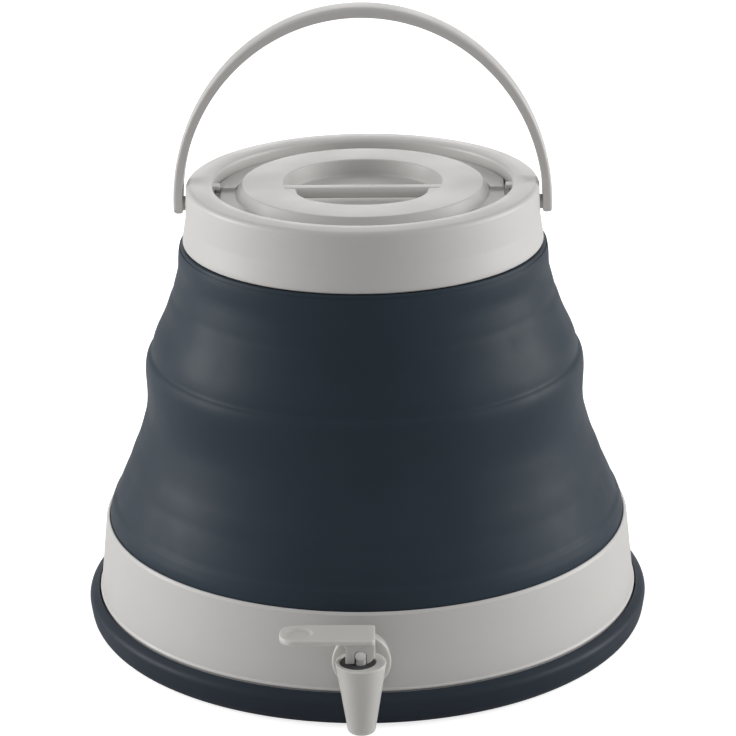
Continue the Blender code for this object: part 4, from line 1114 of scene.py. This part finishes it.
@dataclass
class Tap:
    """The lever tap: a tapered cup on a flanged shank, its seals, its plunger and its lever."""

    spout_y: float = -155.657
    shank_tail: float = 118.6
    shank_radius: float = 7.4
    bore_radius: float = 3.6
    flange_back: float = 140.557
    flange_front: float = 142.557
    flange_radius: float = 14.1
    neck_radius: float = 6.0
    neck_reach: float = 6.0
    cup_top: float = 41.203
    cup_radius: float = 12.1
    chamber_radius: float = 6.3
    chamber_depth: float = 17.0
    tip_radius: float = 6.5
    tip_height: float = 5.1
    outlet_radius: float = 4.2
    pocket_radius: float = 8.7
    pocket_shift: float = 1.5
    pocket_depth: float = 2.2
    seal_foot: float = 1.9
    seal_top: float = 0.25
    seal_dip: float = 0.9
    stem_radius: float = 2.3
    stem_flat: float = 1.5
    stem_collar: float = 4.6
    stem_waist: float = 1.6
    stem_foot: float = 2.6
    stem_tail: float = 0.9
    stem_head: float = 2.3
    stem_collar_low: float = 3.0
    stem_collar_high: float = 4.5
    collar_radius: float = 5.2
    collar_inner: float = 4.6
    push_start: float = 5.0
    pivot_height: float = 45.503
    trunnion_radius: float = 2.6
    trunnion_proud: float = 0.35
    fork_half: float = 3.6
    fork_reach: float = 7.1
    fork_mouth: float = 2.75
    flare_foot: float = 3.2
    flare_out: float = 4.9
    flare_up: float = 5.0
    fork_root: float = 9.2
    cheek_inner: float = 1.8
    paddle_low: float = 53.6
    paddle_high: float = 56.1
    paddle_left: float = 38.1
    paddle_right: float = 6.8
    paddle_half: float = 9.0
    paddle_round: float = 7.6
    paddle_edge: float = 0.8
    paddle_swell: float = 0.6
    paddle_corner: float = 1.4
    spine_end: float = 2.0
    edge_margin: float = 1.02
    swell_start: float = 10.0
    swell_end: float = 27.0
    dimple_floor: float = 0.66
    dimple_at: float = 29.0
    dimple_half: float = 7.3
    dimple_width: float = 6.3
    dimple_depth: float = 1.1
    cam_rest: float = 4.0
    cam_lift: float = 2.8
    fork_bevel: float = 0.3
    cam_steps: int = 18
    hook_steps: int = 33
    flare_steps: int = 9
    outline_steps: int = 260
    top_steps: int = 26
    roll_steps: int = 13
    under_steps: int = 10

    def shifted(self, angles: np.ndarray, radius: float) -> np.ndarray:
        """Returns how far from the spout's axis a circle about the pocket's centre lies, at each angle."""
        shift = self.pocket_shift
        return np.sqrt(radius**2 - (shift * np.sin(angles)) ** 2) - shift * np.cos(angles)

    def pushed(self, profile: np.ndarray, segments: int, radius: float, share: np.ndarray) -> np.ndarray:
        """Turns a profile about the spout's axis and pushes it out towards the pocket's own circle.

        Args:
            profile: rows of (radius, height).
            segments: how many rings the turn takes.
            radius: the circle's radius.
            share: how far each profile point follows the circle, from zero to one.

        Returns:
            The grid as (angles, profile points, 3).
        """
        angles = ring_angles(segments)
        grid = turned_grid(profile, angles, (0.0, self.spout_y, 0.0))
        push = (self.shifted(angles, radius) - (radius - self.pocket_shift))[:, None] * share[None, :]
        grid[..., 0] += np.cos(angles)[:, None] * push
        grid[..., 1] += np.sin(angles)[:, None] * push
        return grid

    def cup(self) -> None:
        """Builds the tapered cup with its chamber, its outlet, its flat rim and the seal's pocket."""
        top, low = self.cup_top, self.cup_top - self.pocket_depth
        inner, seat = self.pocket_radius - self.pocket_shift, self.cup_top - self.chamber_depth
        profile = fillet(
            (self.outlet_radius, self.tip_height, 0.5), (self.tip_radius, self.tip_height, 2.0),
            (self.cup_radius, top, 0.5), (inner, top, 0.25), (inner, low, 0.1),
            (self.chamber_radius, low, 0.1), (self.chamber_radius, seat, 0.2),
            (self.outlet_radius, seat, 0.3),
        )
        radius, height = profile.T
        pocket = (height > low - 0.05) & (radius > self.chamber_radius + 0.3) & (radius < inner + 0.3)
        piece = grid_object("tap_cup", self.pushed(profile, CUP_TURN_STEPS, self.pocket_radius, pocket))
        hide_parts("tap_body")
        dress(piece, TAP_GREY, "base")

    def shank(self) -> None:
        """Builds the shank with its bore, the round flange and the neck into the cup."""
        neck_end = self.flange_front + self.neck_reach
        profile = fillet(
            (self.bore_radius, self.shank_tail, 0.4), (self.shank_radius, self.shank_tail, 0.8),
            (self.shank_radius, self.flange_back, 0.2), (self.flange_radius, self.flange_back, 0.5),
            (self.flange_radius, self.flange_front, 0.9), (self.neck_radius + 0.4, self.flange_front, 0.8),
            (self.neck_radius, neck_end, 0.0), (self.bore_radius, neck_end, 0.0),
        )
        piece = turned("tap_shank", profile, CUP_TURN_STEPS, (0.0, 0.0, TAP_HEIGHT), Axis.FRONT)
        dress(piece, TAP_GREY, "base")

    def bonnet(self) -> None:
        """Builds the black rubber seal in the cup's mouth, with a shallow collar round the stem's hole; set
        just under the rim, its black also paints the shade of the cup's hollow mouth.
        """
        foot, top, dip = (self.cup_top - depth for depth in (self.seal_foot, self.seal_top, self.seal_dip))
        limit, hole = self.pocket_radius - GAP, self.stem_radius + GAP
        rim = limit - self.pocket_shift
        profile = fillet(
            (hole, foot, 0.1), (rim, foot, 0.2), (rim, top, 0.3), (self.collar_radius, top, 0.2),
            (self.collar_inner, dip, 0.3), (hole, dip, 0.2),
            steps=4,
        )
        share = smoothstep(profile[:, 0], self.push_start, rim)
        piece = grid_object("bonnet_seal", self.pushed(profile, PAD_TURN_STEPS, limit, share))
        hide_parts("tap_bonnet_seal")
        # Painted shade: the seal's black, just under the rim, stands in for the shade inside the cup's hollow
        # mouth as well as being the seal's own black rubber.
        dress(piece, BLACK, "base")

    def cam_line(self) -> np.ndarray:
        """Draws the fork's foot, an involute whose height over a flat rises evenly with the lever's turn.

        Returns:
            Rows of (across, up) about the pivot, over a quarter turn.
        """
        turn = np.linspace(0.0, math.pi / 2.0, self.cam_steps + 1)
        rate = self.cam_lift / (math.pi / 2.0)
        height = self.cam_rest + rate * turn
        across, up = height * np.sin(turn) + rate * np.cos(turn), rate * np.sin(turn) - height * np.cos(turn)
        return np.stack([across, up], axis=1)

    def cheek(self, low: float, high: float, name: str) -> None:
        """Builds one cheek of the fork: a cam below, a snap mouth for the trunnion, and a flare to the left.

        Args:
            low: where the cheek starts in front of the spout's axis.
            high: where it ends.
            name: the piece's name.
        """
        seat, mouth, foot = self.trunnion_radius + GAP, self.fork_mouth, -self.cam_rest
        half_mouth = math.asin(mouth / seat)
        arc = np.linspace(half_mouth, math.tau - half_mouth, self.hook_steps) - math.pi / 2.0
        hook = seat * np.stack([np.cos(arc), np.sin(arc)], axis=1)
        left = [(-mouth - 0.2, foot), (-self.fork_reach, foot), (-self.fork_reach, self.flare_foot)]
        rise = np.linspace(0.0, 1.0, self.flare_steps)[1:]
        flare = [-self.fork_reach - self.flare_out * rise**2, self.flare_foot + self.flare_up * rise]
        root = [(-self.fork_reach - self.flare_out, self.fork_root), (self.paddle_right, self.fork_root)]
        cam = self.cam_line()[::-1]
        cam = cam[cam[:, 0] > mouth + 0.4]
        right = [(mouth + 0.1, foot + 0.1)]
        outline = np.concatenate([left, np.stack(flare, axis=1), root, cam, right, hook])
        outline[:, 1] += self.pivot_height
        piece = slab(name, outline, self.spout_y + low, self.spout_y + high, Plane.FRONT)
        dress(soften(piece, self.fork_bevel, 2), TAP_GREY, "lever")

    def web(self) -> None:
        """Builds the web that joins the two cheeks behind and over the slot."""
        outline = fillet(
            (-7.0, -3.7, 0.6), (-3.8, -3.7, 0.6), (-3.8, 3.8, 1.0), (6.5, 3.8, 0.4),
            (6.5, self.fork_root, 0.0), (-11.6, self.fork_root, 0.0), (-9.0, 5.9, 2.0), (-7.0, 3.4, 2.0),
            steps=4,
        )
        outline[:, 1] += self.pivot_height
        half = self.cheek_inner + 0.2
        piece = slab("lever_web", outline, self.spout_y - half, self.spout_y + half, Plane.FRONT)
        piece.data.set_sharp_from_angle(angle=SHARP_ANGLE)
        dress(piece, TAP_GREY, "lever")

    def paddle(self) -> None:
        """Builds the lever's paddle.

        Each ring of points is the outline drawn in towards the long middle line by a share; the section rolls
        over both edges, and an oval dimple with a flat floor is pressed into the top near the free end. The
        underside swells a little towards that end.
        """
        left, right, width, edge = -self.paddle_left, self.paddle_right, self.paddle_half, self.paddle_edge
        outline = fillet(
            (right, 0.0, 0.0), (right, width, self.paddle_corner), (left, width, self.paddle_round),
            (left, -width, self.paddle_round), (right, -width, self.paddle_corner),
            steps=14,
        )
        outline = self.resampled(outline, self.outline_steps)
        spine = np.clip(outline[:, 0], left + width, right - self.spine_end)
        spine = np.stack([spine, np.zeros(len(outline))], axis=1)
        half = (self.paddle_high - self.paddle_low) / 2.0
        roll = np.linspace(math.pi / 2.0, -math.pi / 2.0, self.roll_steps)
        rolled = (half - edge) * np.sign(np.round(np.sin(roll), 6)) + edge * np.sin(roll)
        top_inset = np.linspace(width, edge * self.edge_margin, self.top_steps)
        under_inset = np.linspace(edge * self.edge_margin, width, self.under_steps)
        inset = np.concatenate([top_inset, edge * (1.0 - np.cos(roll)), under_inset])
        level = [np.full(self.top_steps, half), rolled, np.full(self.under_steps, -half)]
        level = np.concatenate(level)[None, :]
        share = np.clip(inset / width, 0.0, 1.0)
        plan = outline[:, None, :] + (spine - outline)[:, None, :] * share[None, :, None]
        dimple = (plan + np.array([self.dimple_at, 0.0])) / np.array([self.dimple_half, self.dimple_width])
        rim = smoothstep(np.linalg.norm(dimple, axis=-1), self.dimple_floor, 1.0)
        bowl = self.dimple_depth * (1.0 - rim)
        swell = self.paddle_swell * smoothstep(-plan[..., 0], self.swell_start, self.swell_end)
        height = level - np.where(level > half * 0.99, bowl, 0.0) - swell * (half - level) / (2.0 * half)
        height = height + (self.paddle_high + self.paddle_low) / 2.0
        grid = np.stack([plan[..., 0], plan[..., 1] + self.spout_y, height], axis=-1)
        piece = grid_object("lever_paddle", grid, True, False)
        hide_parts("tap_lever")
        dress(piece, TAP_GREY, "lever")

    def resampled(self, outline: np.ndarray, count: int) -> np.ndarray:
        """Spaces a closed outline's points equally, mirrored about its long axis.

        Args:
            outline: rows of (x, y), starting on the long axis.
            count: how many points to return.

        Returns:
            The outline's new points.
        """
        closed = np.concatenate([outline, outline[:1]])
        length = np.concatenate([[0.0], np.cumsum(np.linalg.norm(np.diff(closed, axis=0), axis=1))])
        at = (np.arange(count) + 0.5) / count * length[-1]
        return np.stack([np.interp(at, length, closed[:, 0]), np.interp(at, length, closed[:, 1])], axis=1)

    def plunger(self) -> None:
        """Builds the plunger's stem with its collar and button, turned about the spout's axis.

        Above the flats' foot every point's depth is held within the flats, so that the fork's cheeks pass
        beside it.
        """
        seat, top = self.cup_top - self.chamber_depth, self.pivot_height + self.stem_head
        tail = seat - self.stem_tail
        flats_foot = self.pivot_height - self.cam_rest - self.cam_lift - GAP
        collar_foot, collar_top = seat + self.stem_collar_low, seat + self.stem_collar_high
        profile = fillet(
            (0.0, tail, 0.0), (self.stem_foot, tail, 0.3), (self.stem_foot, seat, 0.2),
            (self.stem_waist, seat, 0.1), (self.stem_waist, collar_foot, 0.1),
            (self.stem_collar, collar_foot, 0.3),
            (self.stem_collar, collar_top, 0.3), (self.stem_radius, collar_top, 0.3),
            (self.stem_radius, flats_foot - 0.15, 0.0), (self.stem_radius, flats_foot, 0.0),
            (self.stem_radius, top, 0.4), (0.0, top, 0.0),
            steps=4,
        )
        piece = turned("plunger_stem", profile, PIN_TURN_STEPS, (0.0, self.spout_y, 0.0))
        points = np.empty(len(piece.data.vertices) * 3)
        piece.data.vertices.foreach_get("co", points)
        points = points.reshape(-1, 3)
        limit = np.where(points[:, 2] > (flats_foot - 0.05) * MM, self.stem_flat, self.stem_collar) * MM
        axis_y = AXIS_Y + self.spout_y * MM
        points[:, 1] = axis_y + np.clip(points[:, 1] - axis_y, -limit, limit)
        piece.data.vertices.foreach_set("co", points.ravel())
        piece.data.update()
        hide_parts("tap_plunger")
        dress(piece, SEAL_WHITE, "plunger")

    def trunnion(self) -> None:
        """Builds the cross pin at the stem's top, which the fork snaps over."""
        reach, radius = self.fork_half + self.trunnion_proud, self.trunnion_radius
        profile = fillet(
            (0.0, -reach, 0.0), (radius, -reach, 0.7), (radius, reach, 0.7), (0.0, reach, 0.0),
            steps=4,
        )
        place = (0.0, self.spout_y, self.pivot_height)
        dress(turned("plunger_trunnion", profile, PIN_TURN_STEPS, place, Axis.FRONT), SEAL_WHITE, "plunger")

    def build(self) -> None:
        """Builds the tap from the wall outwards."""
        self.cup()
        self.shank()
        self.bonnet()
        self.plunger()
        self.trunnion()
        self.cheek(self.cheek_inner, self.fork_half, "lever_cheek_back")
        self.cheek(-self.fork_half, -self.cheek_inner, "lever_cheek_front")
        self.web()
        self.paddle()
        for node in ("tap_outer_washer", "tap_inner_washer", "tap_valve_seal"):
            dress_node(node, BLACK)
        dress_node("tap_nut", TAP_GREY)


@dataclass(frozen=True)
class Softbox:
    """A square soft lamp: its name, where it stands and its side in metres, and its power in watts."""

    name: str
    place: Triple
    size: float
    power: float


@dataclass
class Studio:
    """A pale floor, soft lamps at both sides and behind, and the camera of the photograph, all in metres."""

    pitch: float = math.radians(20.196)
    yaw: float = math.radians(1.35)
    roll: float = math.radians(0.714)
    aim_across: float = 0.0011
    distance: float = 1.38025
    height: float = 0.6386
    focal_pixels: float = 2885.0
    sensor: float = 36.0
    near: float = 0.05
    far: float = 60.0
    floor_side: float = 14.0
    floor_depth: float = 0.02
    floor_albedo: float = 0.72
    floor_glow: float = 0.75
    ambient: float = 0.405
    background: float = 1.0
    lamp_aim: Triple = (0.0, AXIS_Y, 0.14)
    softboxes: tuple[Softbox, ...] = (
        Softbox("left_softbox", (-1.9, 0.1, 0.68), 1.1, 26.0),
        Softbox("right_softbox", (1.9, 0.2, 0.68), 1.1, 26.5),
        Softbox("back_softbox", (0.0, 2.1, 0.75), 1.2, 7.5),
    )

    def camera(self) -> None:
        """Sets the camera on the photograph's sight line.

        It stands in front of the carrier and looks down at it; the whole sight line is turned about the
        carrier's axis by the small angle at which the photograph shows the tap.
        """
        data = bpy.data.cameras.new("photo_camera")
        data.sensor_width = self.sensor
        data.lens = self.sensor * self.focal_pixels / IMAGE_SIDE
        data.clip_start, data.clip_end = self.near, self.far
        camera = bpy.data.objects.new("photo_camera", data)
        bpy.context.scene.collection.objects.link(camera)
        forward = Vector((math.sin(self.aim_across), math.cos(self.pitch), -math.sin(self.pitch)))
        forward.normalize()
        right = forward.cross(Vector((0.0, 0.0, 1.0))).normalized()
        up = right.cross(forward)
        rolled_right = right * math.cos(self.roll) - up * math.sin(self.roll)
        rolled_up = right * math.sin(self.roll) + up * math.cos(self.roll)
        turn = Matrix((rolled_right, rolled_up, -forward)).transposed().to_4x4()
        place = Matrix.Translation((0.0, -self.distance, self.height))
        about_axis = Matrix.Translation((0.0, AXIS_Y, 0.0)) @ Matrix.Rotation(self.yaw, 4, "Z")
        camera.matrix_world = about_axis @ place @ turn
        bpy.context.scene.camera = camera

    def lamp(self, softbox: Softbox) -> None:
        """Adds one soft lamp that faces the carrier's middle.

        Args:
            softbox: the lamp's name, place, side and power.
        """
        data = bpy.data.lights.new(softbox.name, "AREA")
        data.shape = "SQUARE"
        data.size = softbox.size
        data.energy = softbox.power
        lamp = bpy.data.objects.new(softbox.name, data)
        lamp.location = softbox.place
        direction = Vector(self.lamp_aim) - Vector(softbox.place)
        lamp.rotation_euler = direction.to_track_quat("-Z", "Y").to_euler()
        bpy.context.scene.collection.objects.link(lamp)

    def floor(self) -> None:
        """Lays the pale floor, which shows the carrier's shadow against the white background."""
        half = self.floor_side / MM / 2.0
        outline = np.array([(-half, -half), (half, -half), (half, half), (-half, half)])
        outline[:, 1] -= AXIS_Y / MM
        piece = slab("studio_floor", outline, -self.floor_depth / MM, 0.0, Plane.GROUND)
        shader = Shader(bpy.data.materials.new("pale_floor"))
        shader.set(Roughness=1.0, Specular_IOR_Level=0.0, Base_Color=(*[self.floor_albedo] * 3, 1.0))
        shader.set(Emission_Color=(1.0, 1.0, 1.0, 1.0))
        shader.drive("Emission Strength", shader.ramp(shader.seen(), 0.0, 1.0, 0.0, self.floor_glow))
        piece.data.materials.append(shader.owner)

    def world(self) -> None:
        """Lights the scene evenly and shows a white background to the camera."""
        world = bpy.data.worlds.new("studio_world")
        bpy.context.scene.world = world
        shader = Shader(world, "Background")
        shader.set(Color=(1.0, 1.0, 1.0, 1.0))
        shader.drive("Strength", shader.ramp(shader.seen(), 0.0, 1.0, self.ambient, self.background))

    def build(self) -> None:
        """Sets the camera, the floor, the lamps and the colour view."""
        self.camera()
        self.floor()
        self.world()
        for softbox in self.softboxes:
            self.lamp(softbox)
        bpy.context.scene.view_settings.view_transform = "Standard"


def main() -> None:
    """Builds the carrier from the ground up, then the studio."""
    logging.basicConfig(level=logging.INFO, format="%(name)s: %(message)s")
    for sub_assembly in (Base, FoldingWall, TopRing, Lid, BailHandle, Tap):
        sub_assembly().build()
    Studio().build()


if __name__ == "__main__":
    main()
